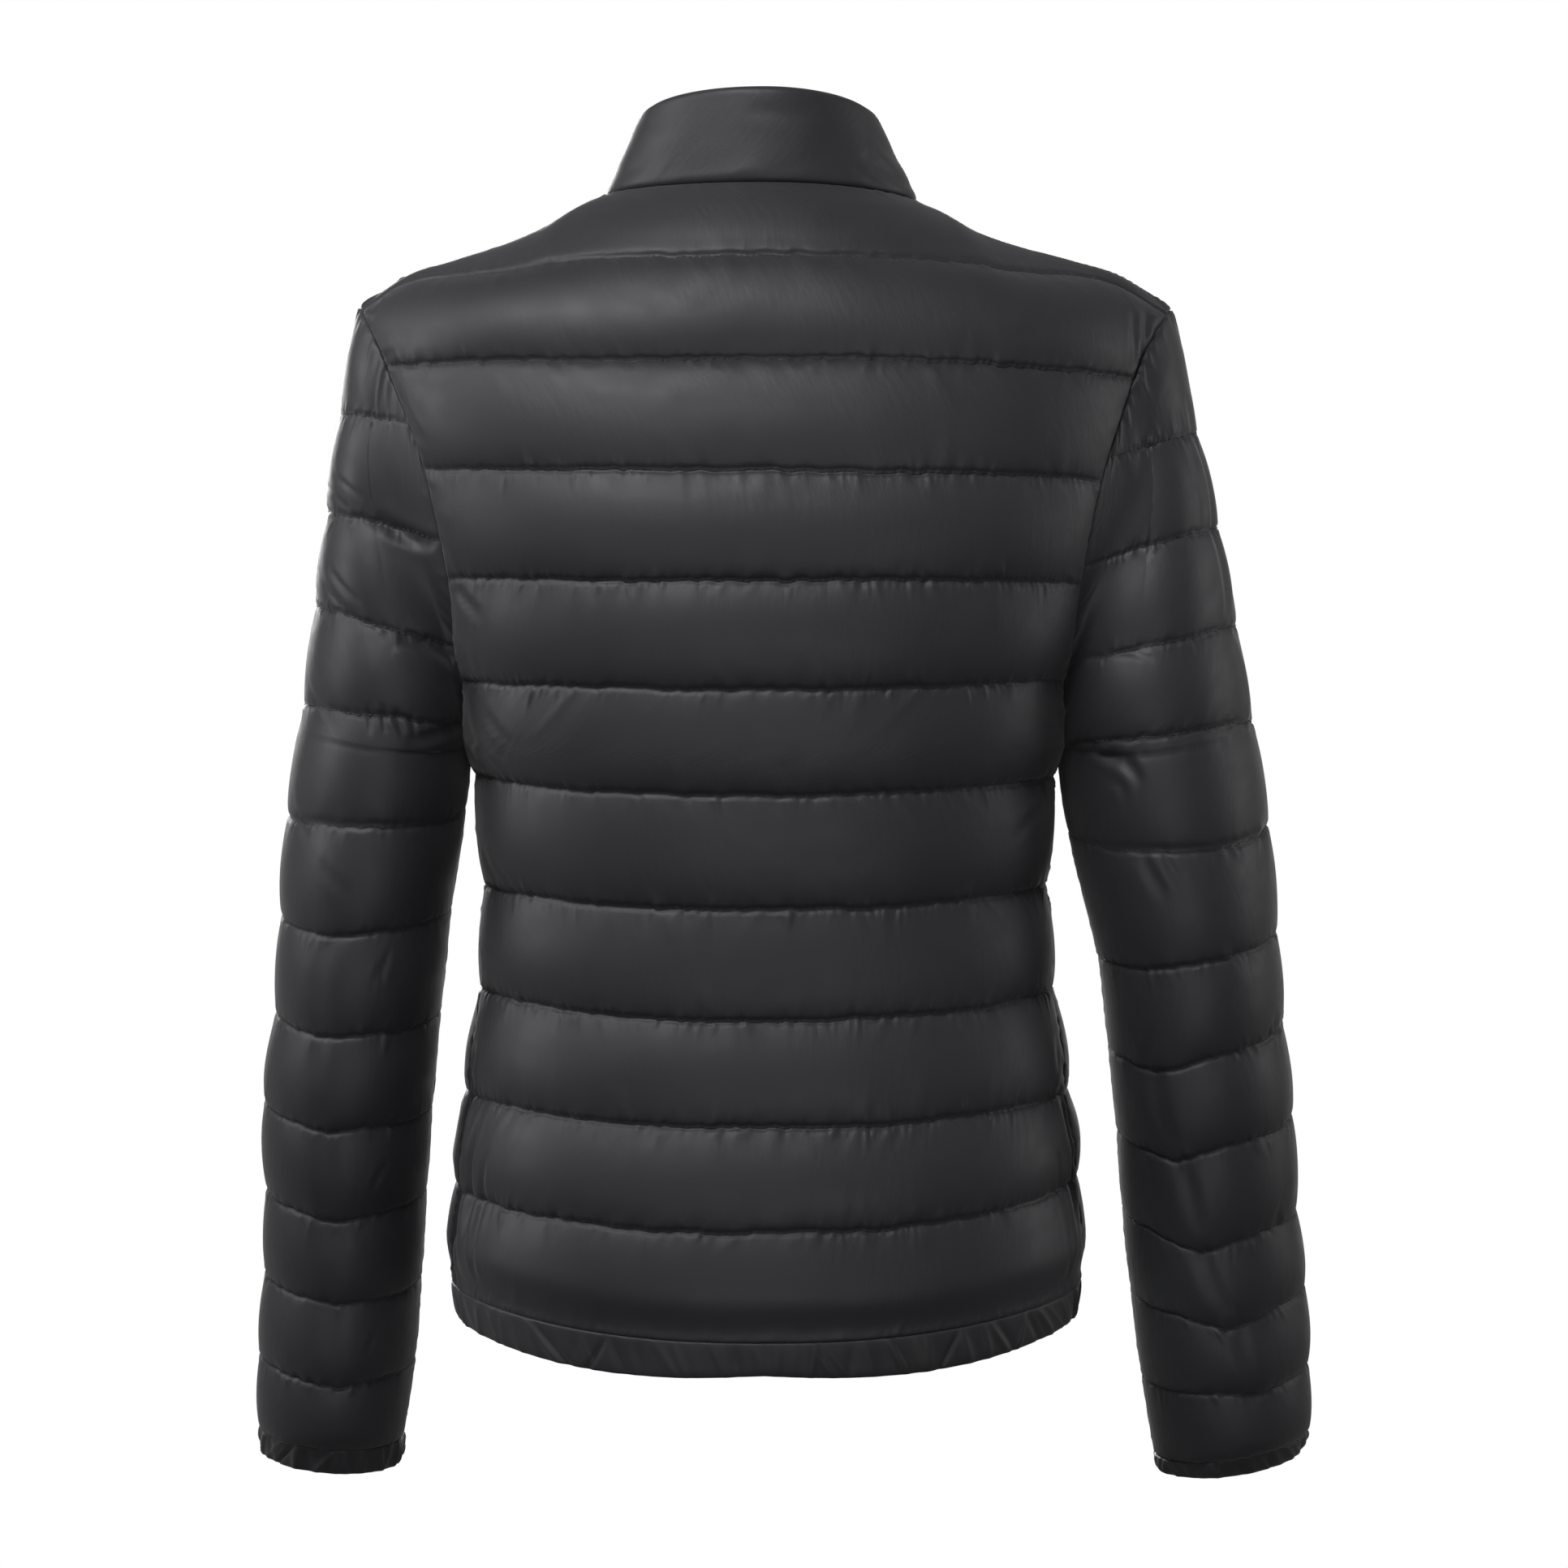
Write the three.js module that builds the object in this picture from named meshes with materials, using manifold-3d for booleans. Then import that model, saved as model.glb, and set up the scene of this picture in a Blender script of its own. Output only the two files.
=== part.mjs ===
// A quilted light down jacket in its worn shape, with no wearer: closed front zip, stand collar, set-in sleeves.
// Millimetres, +Z up. The front faces -Y and the wearer's left is +X. The origin is at the neck base, between
// the shoulders. Each cloth piece is a wall: a grid of stations on its middle surface, thickened both ways.
import * as THREE from "three";
import { mergeVertices } from "three/addons/utils/BufferGeometryUtils.js";
import Module from "manifold-3d";

// Driving dimensions
const SEAM_GAP = 0.3;
const SEAM_WALL = 2.4;
const PUFF_OUT = 6.5;
const PUFF_IN = 2.5;
const SLEEVE_PUFF_OUT = 5;
const SLEEVE_PUFF_IN = 2;
const BAND_WALL = 3;
const COLLAR_WALL = 5;
const RING_SQUARENESS = 2.4;
const CENTRE_FRONT = 3.4;
const YOKE_TOP_PUFF = 0.5;
const YOKE_FULLNESS = 1.15;

// Steps of the grids
const CHANNEL_STEPS = 3;
const SIDE_COLUMNS = 8;
const NECK_COLUMNS = 3;
const BACK_YOKE_STEPS = 4;
const FRONT_YOKE_STEPS = 7;
const CAP_STEPS = 8;
const SLEEVE_COLUMNS = 14;

// The torso, one row for each line of quilting from the hem seam up. z is the line's height at the centre back,
// rise is how far its ends lie above that, left and right are half widths, back and front are the reach from the
// side plane, and seam is the y of the side seam.
const TORSO = [
  { z: -592, riseLeft: 19, riseRight: 19, left: 165, right: 167, back: 128, front: 130, seam: 22 },
  { z: -536, riseLeft: 14, riseRight: 18, left: 161, right: 164, back: 126, front: 128, seam: 28 },
  { z: -483, riseLeft: 11, riseRight: 11, left: 156, right: 159, back: 119, front: 120, seam: 30 },
  { z: -429, riseLeft: 11, riseRight: 11, left: 149, right: 151.5, back: 113, front: 115, seam: 20 },
  { z: -372, riseLeft: 9, riseRight: 9, left: 147, right: 148, back: 112, front: 118, seam: 10 },
  { z: -313, riseLeft: 8, riseRight: 7, left: 152, right: 152, back: 118, front: 128, seam: 4 },
  { z: -259, riseLeft: 4, riseRight: 4, left: 163, right: 162, back: 125, front: 136, seam: 3 },
  { z: -204, riseLeft: 2, riseRight: -1, left: 178, right: 178, back: 127, front: 134, seam: 3 },
  { z: -148, riseLeft: 3, riseRight: -6, left: 196, right: 194, back: 122, front: 126, seam: 3 },
  { z: -91, riseLeft: -1, riseRight: -9, left: 208, right: 203, back: 108, front: 112, seam: 3 },
];
const TOP_LINE = 9;
const FRONT_YOKE_LINE = 8;
const UNDERARM_LINE = 5 + 1 / CHANNEL_STEPS;
const RISE_POWER = 2.3;

// The reach of the armhole's edges from the side plane, at the torso lines from the sixth up.
const ARMHOLE = [
  { back: 44, front: 40 },
  { back: 62, front: 56 },
  { back: 66, front: 58 },
  { back: 46, front: 40 },
];
const ARMHOLE_FIRST_LINE = 6;
const ARMHOLE_OUTWARD = 0.35;

// Neck and shoulders. The neck point is where the shoulder seam meets the collar.
const SHOULDER = {
  left: { neckX: 82, neckZ: 0, tipX: 213, tipZ: -62 },
  right: { neckX: 79, neckZ: -4, tipX: 214, tipZ: -63 },
};
const NECK_BACK = { y: 58, z: 3 };
const NECK_FRONT = { y: -78, z: -62 };
const NECK_FALL_POWER = 1.5;
const NECK_SEAM_TILT = { out: 0.85, up: 0.5 };
const SHOULDER_STRAIGHT = 0.93;
const SHOULDER_DROP_POWER = 6;
const COLLAR_TOP = { half: 62, backY: 51, backZ: 53, sideZ: 47, frontY: -78, frontZ: -12 };

// How the yoke's columns arrive at the neck and the shoulder seam, from the centre out: inX is towards the
// neck's middle and up is upward, for each unit along y. The columns beyond the table run straight along y.
const YOKE_ARRIVAL = [
  { inX: 0, up: 0.9 },
  { inX: 0.4, up: 0.7 },
  { inX: 0.8, up: 0.55 },
  { inX: 0.6, up: 0.3 },
  { inX: 0.2, up: 0.08 },
];
const FRONT_YOKE_LEVELS = [-148, -91, -40, 0];

// The sleeves, one row for each ring from the underarm down: q counts the lines of quilting from the shoulder,
// out and inner are the ring's ends away from and next to the torso, y and depth its middle and half depth,
// and drop is how far its back lies below the mean of its ends.
const SLEEVES = {
  left: {
    rings: [
      { q: 4.2, outX: 244, outZ: -280, innerX: 157, innerZ: -288, y: 0, depth: 64, drop: 6 },
      { q: 5, outX: 251, outZ: -326, innerX: 159, innerZ: -324, y: 0, depth: 62, drop: 7.5 },
      { q: 6, outX: 255, outZ: -379, innerX: 167, innerZ: -377, y: -3, depth: 59, drop: 9.5 },
      { q: 7, outX: 258.5, outZ: -430, innerX: 173, innerZ: -432, y: -8, depth: 56, drop: 8.5 },
      { q: 8, outX: 265, outZ: -478, innerX: 178, innerZ: -483, y: -14, depth: 53, drop: 8.6 },
      { q: 9, outX: 265, outZ: -525, innerX: 181.5, innerZ: -528, y: -22, depth: 50, drop: 10.7 },
      { q: 10, outX: 266.5, outZ: -572, innerX: 185, innerZ: -576, y: -30, depth: 48, drop: 9 },
      { q: 11, outX: 270.5, outZ: -617, innerX: 189, innerZ: -621, y: -38, depth: 46, drop: 8 },
      { q: 12, outX: 271, outZ: -658, innerX: 196, innerZ: -664, y: -45, depth: 41, drop: 4.3 },
    ],
    cuff: { outX: 270.5, outZ: -669, innerX: 198, innerZ: -675, y: -47, depth: 36, drop: 5 },
    lines: [
      { out: -62, edge: -62 },
      { out: -110, edge: -127 },
      { out: -163, edge: -184 },
      { out: -214, edge: -238 },
      { out: -269, edge: -278 },
      { out: -326, edge: -324 },
    ],
  },
  right: {
    rings: [
      { q: 4, outX: 257, outZ: -278, innerX: 156, innerZ: -288, y: 0, depth: 64, drop: 8 },
      { q: 5, outX: 265.5, outZ: -333, innerX: 161.5, innerZ: -336, y: 0, depth: 62, drop: 10 },
      { q: 6, outX: 270.5, outZ: -388, innerX: 177.5, innerZ: -402, y: -3, depth: 59, drop: 8 },
      { q: 7, outX: 274, outZ: -436, innerX: 183.5, innerZ: -450, y: -8, depth: 56, drop: 10.6 },
      { q: 8, outX: 280, outZ: -486, innerX: 188.5, innerZ: -496, y: -14, depth: 53, drop: 9.5 },
      { q: 9, outX: 283, outZ: -537, innerX: 192, innerZ: -538, y: -22, depth: 50, drop: 12.5 },
      { q: 10, outX: 288, outZ: -579, innerX: 197, innerZ: -582, y: -30, depth: 48, drop: 12 },
      { q: 11, outX: 291, outZ: -622, innerX: 203.5, innerZ: -630, y: -38, depth: 46, drop: 7 },
      { q: 12, outX: 292, outZ: -660, innerX: 211, innerZ: -673, y: -45, depth: 41, drop: 4 },
    ],
    cuff: { outX: 289.5, outZ: -669, innerX: 213, innerZ: -680, y: -47, depth: 36, drop: 6 },
    lines: [
      { out: -63, edge: -63 },
      { out: -118, edge: -144 },
      { out: -169, edge: -197 },
      { out: -225, edge: -246 },
      { out: -278, edge: -289 },
      { out: -333, edge: -336 },
    ],
  },
};
const SLEEVE_LAST_LINE = 12;
const CAP_DROOP = { edge: 1.2, tip: 2.5 };
const CAP_EDGE_BLEND = 0.3;
const INNER_PUFF_LOSS = 0.85;
const CAP_EDGE_STEP = 4;

// The hem band hangs below the hem seam, a little inside it.
const HEM_BAND = { height: 17, inset: 3 };
const BAND_ROWS = [0, 0.5, 1];
const COLLAR_ROWS = [0, 0.33, 0.67, 1];

// The front zip: a tape behind each front edge, a bar of closed teeth between the edges, a slider and its tab.
const ZIP = { tapeReach: 6.5, tapeDeep: -4, tapeNear: -3.1, barReach: 3, barProud: 0.9, fromTop: 7 };
const SLIDER = { half: 4.5, height: 11, frontNear: 1.8, frontFar: 3.2, backNear: -4.4, backFar: -5.6 };
const POST = { half: 2.9, top: 3 };
const BRIDGE = { half: 1, reach: 2.6, wall: 1.1, out: 1.5, clear: 1, sunk: 0.4 };
const TAB = { half: 3.2, window: 1.6, barRadius: 0.6, length: 24,
  windowLength: 5.5, shoulder: 7, thick: 1.2, tipHalf: 4 };

const CLOTH = { color: 0x343437, roughness: 0.5, metalness: 0 };
const BAND_CLOTH = { color: 0x303033, roughness: 0.62, metalness: 0 };
const ZIP_CLOTH = { color: 0x1c1c1e, roughness: 0.7, metalness: 0 };
const ZIP_METAL = { color: 0x55565a, roughness: 0.35, metalness: 0.9 };

const wasm = await Module();
wasm.setup();

const vec = (x, y, z) => new THREE.Vector3(x, y, z);
const SIDE = { left: 1, right: -1 };
const DOWN = vec(0, 0, -1);
const SMALL_TURN = 0.02;

// Numbers in between

function mix(a, b, t) {
  return a + (b - a) * t;
}

// The columns of a table at a fractional row, by a curve through the rows.
function rowAt(table, at) {
  const last = table.length - 1;
  const i = Math.min(Math.max(Math.floor(at), 0), last - 1);
  const t = at - i;
  const row = (k) => table[Math.min(Math.max(k, 0), last)];
  const made = {};
  for (const name of Object.keys(table[0])) {
    const [a, b, c, d] = [row(i - 1)[name], row(i)[name], row(i + 1)[name], row(i + 2)[name]];
    const cubic = 3 * b - a - 3 * c + d;
    made[name] = 0.5 * (2 * b + t * (c - a + t * (2 * a - 5 * b + 4 * c - d + t * cubic)));
  }
  return made;
}

// 0 at a line of quilting and nearly 1 between two lines.
function puffShape(lines) {
  const between = lines - Math.floor(lines);
  return Math.sin(Math.PI * between) ** 0.6;
}

// The torso as one smooth tube

// A point of the tube at an angle from the centre back, positive on both sides, at a fractional line.
function torsoPoint(side, angle, line) {
  const row = rowAt(TORSO, line);
  const sine = Math.sin(angle);
  const cosine = Math.cos(angle);
  const reach = cosine > 0 ? row.back : row.front;
  const half = side === "left" ? row.left : row.right;
  const rise = side === "left" ? row.riseLeft : row.riseRight;
  const across = Math.sign(sine) * Math.abs(sine) ** (2 / RING_SQUARENESS);
  const along = Math.sign(cosine) * Math.abs(cosine) ** (2 / RING_SQUARENESS);
  const lift = cosine > 0 ? Math.abs(across) ** RISE_POWER : 1;
  return vec(SIDE[side] * half * across, reach * along, row.z + rise * lift);
}

// The angle at which the tube has a given reach from the side plane.
function angleAtReach(reach, full) {
  const share = Math.sign(reach) * Math.abs(reach / full) ** (RING_SQUARENESS / 2);
  return Math.acos(share);
}

// Where the back piece ends: the side seam, and above the underarm the armhole.
function edgeReach(line, part) {
  const seam = rowAt(TORSO, line).seam;
  if (line <= UNDERARM_LINE) return seam;
  const sign = part === "back" ? 1 : -1;
  if (line >= ARMHOLE_FIRST_LINE) return sign * rowAt(ARMHOLE, line - ARMHOLE_FIRST_LINE)[part];
  const share = Math.sqrt((line - UNDERARM_LINE) / (ARMHOLE_FIRST_LINE - UNDERARM_LINE));
  return mix(seam, sign * ARMHOLE[0][part], share);
}

function edgeAngle(line, part) {
  const reach = edgeReach(line, part);
  const row = rowAt(TORSO, line);
  return angleAtReach(reach, reach > 0 ? row.back : row.front);
}

function centreFrontAngle(side, line) {
  const half = rowAt(TORSO, line)[side];
  return Math.PI - Math.asin((CENTRE_FRONT / half) ** (RING_SQUARENESS / 2));
}

// The outward normal and the direction away from the centre back, from the tube's own slopes.
function torsoFrame(side, angle, line) {
  const low = Math.max(line - SMALL_TURN, 0);
  const around = torsoPoint(side, angle + SMALL_TURN, line).sub(torsoPoint(side, angle - SMALL_TURN, line));
  const up = torsoPoint(side, angle, line + SMALL_TURN).sub(torsoPoint(side, angle, low));
  const normal = around.clone().cross(up).multiplyScalar(-SIDE[side]).normalize();
  return { normal, across: around.normalize() };
}

// Neck and shoulder

function neckPoint(side, share, part) {
  const turn = (share * Math.PI) / 2;
  const { neckX, neckZ } = SHOULDER[side];
  const centre = part === "back" ? NECK_BACK : NECK_FRONT;
  const start = part === "back" ? 0 : CENTRE_FRONT;
  const x = mix(start, neckX, Math.sin(turn));
  const fall = Math.cos(turn) ** NECK_FALL_POWER;
  return vec(SIDE[side] * x, centre.y * Math.cos(turn), mix(neckZ, centre.z, fall));
}

function shoulderPoint(side, share) {
  const { neckX, neckZ, tipX, tipZ } = SHOULDER[side];
  const fall = mix(share ** SHOULDER_DROP_POWER, share, SHOULDER_STRAIGHT);
  return vec(SIDE[side] * mix(neckX, tipX, share), 0, mix(neckZ, tipZ, fall));
}

function topPoint(side, column, part) {
  if (column <= NECK_COLUMNS) return neckPoint(side, column / NECK_COLUMNS, part);
  return shoulderPoint(side, (column - NECK_COLUMNS) / (SIDE_COLUMNS - NECK_COLUMNS));
}

function hermite(a, slopeA, b, slopeB, t) {
  const made = a.clone().multiplyScalar(2 * t ** 3 - 3 * t ** 2 + 1);
  made.addScaledVector(slopeA, t ** 3 - 2 * t ** 2 + t);
  made.addScaledVector(b, 3 * t ** 2 - 2 * t ** 3);
  return made.addScaledVector(slopeB, t ** 3 - t ** 2);
}

// A column of a piece: on the tube up to a line, then rolling over to the shoulder seam or the neckline.
function torsoColumn(side, column, part) {
  const share = column / SIDE_COLUMNS;
  const fromLine = part === "back" ? TOP_LINE : FRONT_YOKE_LINE;
  const steps = part === "back" ? BACK_YOKE_STEPS : FRONT_YOKE_STEPS;
  const angleAt = (line) => {
    const edge = edgeAngle(line, part);
    return part === "back" ? edge * share : mix(centreFrontAngle(side, line), edge, share);
  };
  const at = (line) => torsoPoint(side, angleAt(line), line);
  const made = [];
  for (let k = 0; k <= fromLine * CHANNEL_STEPS; k++) {
    const line = k / CHANNEL_STEPS;
    made.push({ p: at(line), line, angle: angleAt(line) });
  }
  const start = at(fromLine);
  const end = topPoint(side, column, part);
  const length = YOKE_FULLNESS * start.distanceTo(end);
  const rising = start.clone().sub(at(fromLine - SMALL_TURN)).normalize().multiplyScalar(length);
  const { inX, up } = YOKE_ARRIVAL[column] ?? { inX: 0, up: 0 };
  const inY = part === "back" ? -1 : 1;
  const rolling = vec(-SIDE[side] * inX, inY, up).normalize().multiplyScalar(length);
  for (let k = 1; k <= steps; k++) {
    const p = hermite(start, rising, end, rolling, k / steps);
    made.push({ p, line: yokeLine(p.z, part, k / steps), angle: null });
  }
  return made;
}

// The yoke's place in the lines: the back has one more line half way, the front's lie level.
function yokeLine(z, part, share) {
  if (part === "back") return TOP_LINE + 2 * share;
  const levels = FRONT_YOKE_LEVELS;
  const i = z < levels[1] ? 0 : z < levels[2] ? 1 : 2;
  return FRONT_YOKE_LINE + i + (z - levels[i]) / (levels[i + 1] - levels[i]);
}

// Frames of the seams. Each has the outward normal and the direction across the seam, and both pieces there
// take the same ones, so that their edges lie parallel with the gap between them.

const underarmRow = Math.round(UNDERARM_LINE * CHANNEL_STEPS);

function armholeLoop(side, backEdge, frontEdge) {
  const half = backEdge.length - 1 - underarmRow;
  const loop = [];
  for (let k = 0; k <= half; k++) loop.push(backEdge[underarmRow + k].p.clone());
  for (let k = 1; k <= half; k++) loop.push(frontEdge[underarmRow + half - k].p.clone());
  const count = loop.length - 1;
  return loop.map((p, k) => {
    const turn = Math.PI * (1 - k / half);
    const outward = ARMHOLE_OUTWARD * (1 + Math.cos(turn));
    const normal = vec(SIDE[side] * outward, Math.sin(turn), Math.cos(turn)).normalize();
    const before = loop[k === 0 ? count - 1 : k - 1];
    const after = loop[k === count ? 1 : k + 1];
    const along = after.clone().sub(before).normalize();
    const across = along.cross(normal).normalize();
    if (across.x * SIDE[side] < 0) across.negate();
    return { p, normal, across };
  });
}

function neckFrames(side, part) {
  const frames = [];
  for (let m = 0; m <= NECK_COLUMNS; m++) {
    const share = m / NECK_COLUMNS;
    const p = neckPoint(side, share, part);
    const along = neckPoint(side, share + SMALL_TURN, part).sub(neckPoint(side, share - SMALL_TURN, part));
    if (m === NECK_COLUMNS) along.set(0, 1, 0);
    if (m === 0) along.set(1, 0, 0);
    const flat = vec(p.x, p.y, 0).normalize();
    if (m === 0) flat.set(0, Math.sign(p.y), 0);
    const normal = flat.multiplyScalar(NECK_SEAM_TILT.out).add(vec(0, 0, NECK_SEAM_TILT.up));
    along.normalize();
    normal.addScaledVector(along, -normal.dot(along)).normalize();
    const across = along.cross(normal).normalize();
    if (across.z < 0) across.negate();
    frames.push({ p, normal, across });
  }
  return frames;
}

function shoulderFrame(side, column) {
  const share = (column - NECK_COLUMNS) / (SIDE_COLUMNS - NECK_COLUMNS);
  const along = shoulderPoint(side, share + SMALL_TURN).sub(shoulderPoint(side, share - SMALL_TURN)).normalize();
  const normal = vec(0, 1, 0).cross(along).normalize();
  if (normal.z < 0) normal.negate();
  return { normal, across: vec(0, -1, 0) };
}

// Moves a station back from a seam by half the gap and gives it the seam's normal.
function seat(station, frame, sign) {
  station.shift = (station.shift ?? vec(0, 0, 0)).addScaledVector(frame.across, (sign * SEAM_GAP) / 2);
  station.normal = frame.normal;
  station.flat = true;
}

// Walls

// Rows of stations become one closed solid. A station has p, the middle point, and may have normal, shift, out
// and inside, its two thicknesses. turn is 1 where the columns run so that across x up points outward.
function wall(rows, turn, closesAt) {
  const last = rows[0].length - 1;
  const high = rows.length - 1;
  const closes = (i) => closesAt !== undefined && i >= closesAt;
  const normalOf = (i, j) => {
    if (rows[i][j].normal) return rows[i][j].normal;
    const round = closes(i);
    const before = rows[i][j > 0 ? j - 1 : round ? last - 1 : 0].p;
    const after = rows[i][j < last ? j + 1 : round ? 1 : last].p;
    const below = rows[Math.max(i - 1, 0)][j].p;
    const above = rows[Math.min(i + 1, high)][j].p;
    const across = after.clone().sub(before);
    return across.cross(above.clone().sub(below)).multiplyScalar(turn).normalize();
  };
  const outer = [];
  const inner = [];
  rows.forEach((row, i) => {
    row.forEach((station, j) => {
      const normal = normalOf(i, j);
      const middle = station.p.clone().add(station.shift ?? vec(0, 0, 0));
      outer.push(middle.clone().addScaledVector(normal, station.out));
      inner.push(middle.clone().addScaledVector(normal, -station.inside));
    });
  });
  const width = last + 1;
  const count = outer.length;
  const id = (i, j) => i * width + (j === last && closes(i) ? 0 : j);
  const triangles = [];
  const quad = (a, b, c, d) => triangles.push(a, b, c, a, c, d);
  for (let i = 0; i < high; i++) {
    for (let j = 0; j < last; j++) {
      const [a, b, c, d] = [id(i, j), id(i, j + 1), id(i + 1, j + 1), id(i + 1, j)];
      quad(a, b, c, d);
      quad(count + a, count + d, count + c, count + b);
    }
    if (!(closes(i) && closes(i + 1))) {
      quad(id(i, 0), id(i + 1, 0), count + id(i + 1, 0), count + id(i, 0));
      quad(id(i, last), count + id(i, last), count + id(i + 1, last), id(i + 1, last));
    }
  }
  for (let j = 0; j < last; j++) {
    quad(id(0, j), count + id(0, j), count + id(0, j + 1), id(0, j + 1));
    quad(id(high, j), id(high, j + 1), count + id(high, j + 1), count + id(high, j));
  }
  return closedGeometry([...outer, ...inner], triangles);
}

// A geometry whose faces point out, whichever way its triangles were listed.
function closedGeometry(points, triangles) {
  let volume = 0;
  for (let k = 0; k < triangles.length; k += 3) {
    const [a, b, c] = [points[triangles[k]], points[triangles[k + 1]], points[triangles[k + 2]]];
    volume += a.dot(b.clone().cross(c));
  }
  const index = volume > 0 ? triangles : triangles.slice().reverse();
  const geometry = new THREE.BufferGeometry().setFromPoints(points);
  geometry.setIndex(index);
  geometry.computeVertexNormals();
  return geometry;
}

function thicken(station, outPuff, insidePuff) {
  const full = station.flat ? 0 : puffShape(station.line);
  station.out = SEAM_WALL / 2 + outPuff * full;
  station.inside = SEAM_WALL / 2 + insidePuff * full;
}

// The torso's columns for one side and part, from the centre out.
function torsoColumns(side, part) {
  const columns = [];
  for (let column = 0; column <= SIDE_COLUMNS; column++) columns.push(torsoColumn(side, column, part));
  return columns;
}

const columns = {};
const loops = {};
for (const side of ["left", "right"]) {
  columns[side] = { back: torsoColumns(side, "back"), front: torsoColumns(side, "front") };
  const edge = (part) => columns[side][part][SIDE_COLUMNS];
  loops[side] = armholeLoop(side, edge("back"), edge("front"));
}

// Gives the stations along the seams of one side and part their frames.
function seatTorso(side, part) {
  const sign = part === "back" ? -1 : 1;
  const grid = columns[side][part];
  const edge = grid[SIDE_COLUMNS];
  const top = edge.length - 1;
  const loop = loops[side];
  for (let i = 0; i <= underarmRow; i++) {
    const frame = torsoFrame(side, edgeAngle(edge[i].line, "back"), edge[i].line);
    seat(edge[i], frame, sign);
  }
  for (let i = underarmRow; i <= top; i++) {
    const k = part === "back" ? i - underarmRow : loop.length - 1 - (i - underarmRow);
    seat(edge[i], loop[k], -1);
  }
  for (let column = NECK_COLUMNS; column <= SIDE_COLUMNS; column++) {
    const station = grid[column][top];
    const keep = station.normal;
    seat(station, shoulderFrame(side, column), sign);
    if (keep) station.normal = keep;
  }
  const frames = neckFrames(side, part);
  for (let column = 0; column <= NECK_COLUMNS; column++) seat(grid[column][top], frames[column], -1);
  for (let column = 0; column <= SIDE_COLUMNS; column++) {
    const station = grid[column][0];
    const { normal } = torsoFrame(side, station.angle, 0);
    seat(station, { normal, across: DOWN }, -1);
  }
  if (part === "front") for (const station of grid[0]) station.flat = true;
  for (const column of grid) {
    column.forEach((station, i) => {
      const keep = i === top - 1 ? YOKE_TOP_PUFF : 1;
      thicken(station, PUFF_OUT * keep, PUFF_IN * keep);
    });
  }
}
for (const side of ["left", "right"]) for (const part of ["back", "front"]) seatTorso(side, part);

function rowsOf(list) {
  return list[0].map((_, i) => list.map((column) => column[i]));
}

function backPanel() {
  const left = columns.left.back.slice().reverse();
  const right = columns.right.back.slice(1);
  return wall(rowsOf([...left, ...right]), 1);
}

function frontPanel(side) {
  const list = columns[side].front;
  return wall(rowsOf(side === "left" ? list : list.slice().reverse()), 1);
}

// Sleeves

function ringPoint(side, ring, turn) {
  const middleX = (ring.outX + ring.innerX) / 2;
  const halfX = (ring.outX - ring.innerX) / 2;
  const middleZ = (ring.outZ + ring.innerZ) / 2;
  const halfZ = (ring.outZ - ring.innerZ) / 2;
  const [cosine, sine] = [Math.cos(turn), Math.sin(turn)];
  const x = middleX + halfX * cosine;
  return vec(SIDE[side] * x, ring.y + ring.depth * sine, middleZ + halfZ * cosine - ring.drop * sine);
}

// The turn of a column round the sleeve: it starts and ends at the underarm seam and passes the back first.
function columnTurn(column) {
  return Math.PI * (1 - (2 * column) / SLEEVE_COLUMNS);
}

function sleeveRing(side, q) {
  const { rings } = SLEEVES[side];
  const [first, second] = rings.map((ring) => ring.q);
  return rowAt(rings, q < second ? (q - first) / (second - first) : q - second + 1);
}

// The line of quilting at a point of the sleeve's cap.
function capLine(side, p) {
  const { lines, rings } = SLEEVES[side];
  const edge = loops[side][CAP_EDGE_STEP].p;
  const widest = rings[0].outX;
  const inward = Math.min(Math.max((widest - Math.abs(p.x)) / (widest - Math.abs(edge.x)), 0), 1);
  const levels = lines.map((line) => mix(line.out, line.edge, inward));
  if (p.z >= levels[0]) return 0;
  const i = Math.max(levels.findIndex((level) => p.z > level), 1) - 1;
  return i + (p.z - levels[i]) / (levels[i + 1] - levels[i]);
}

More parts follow.
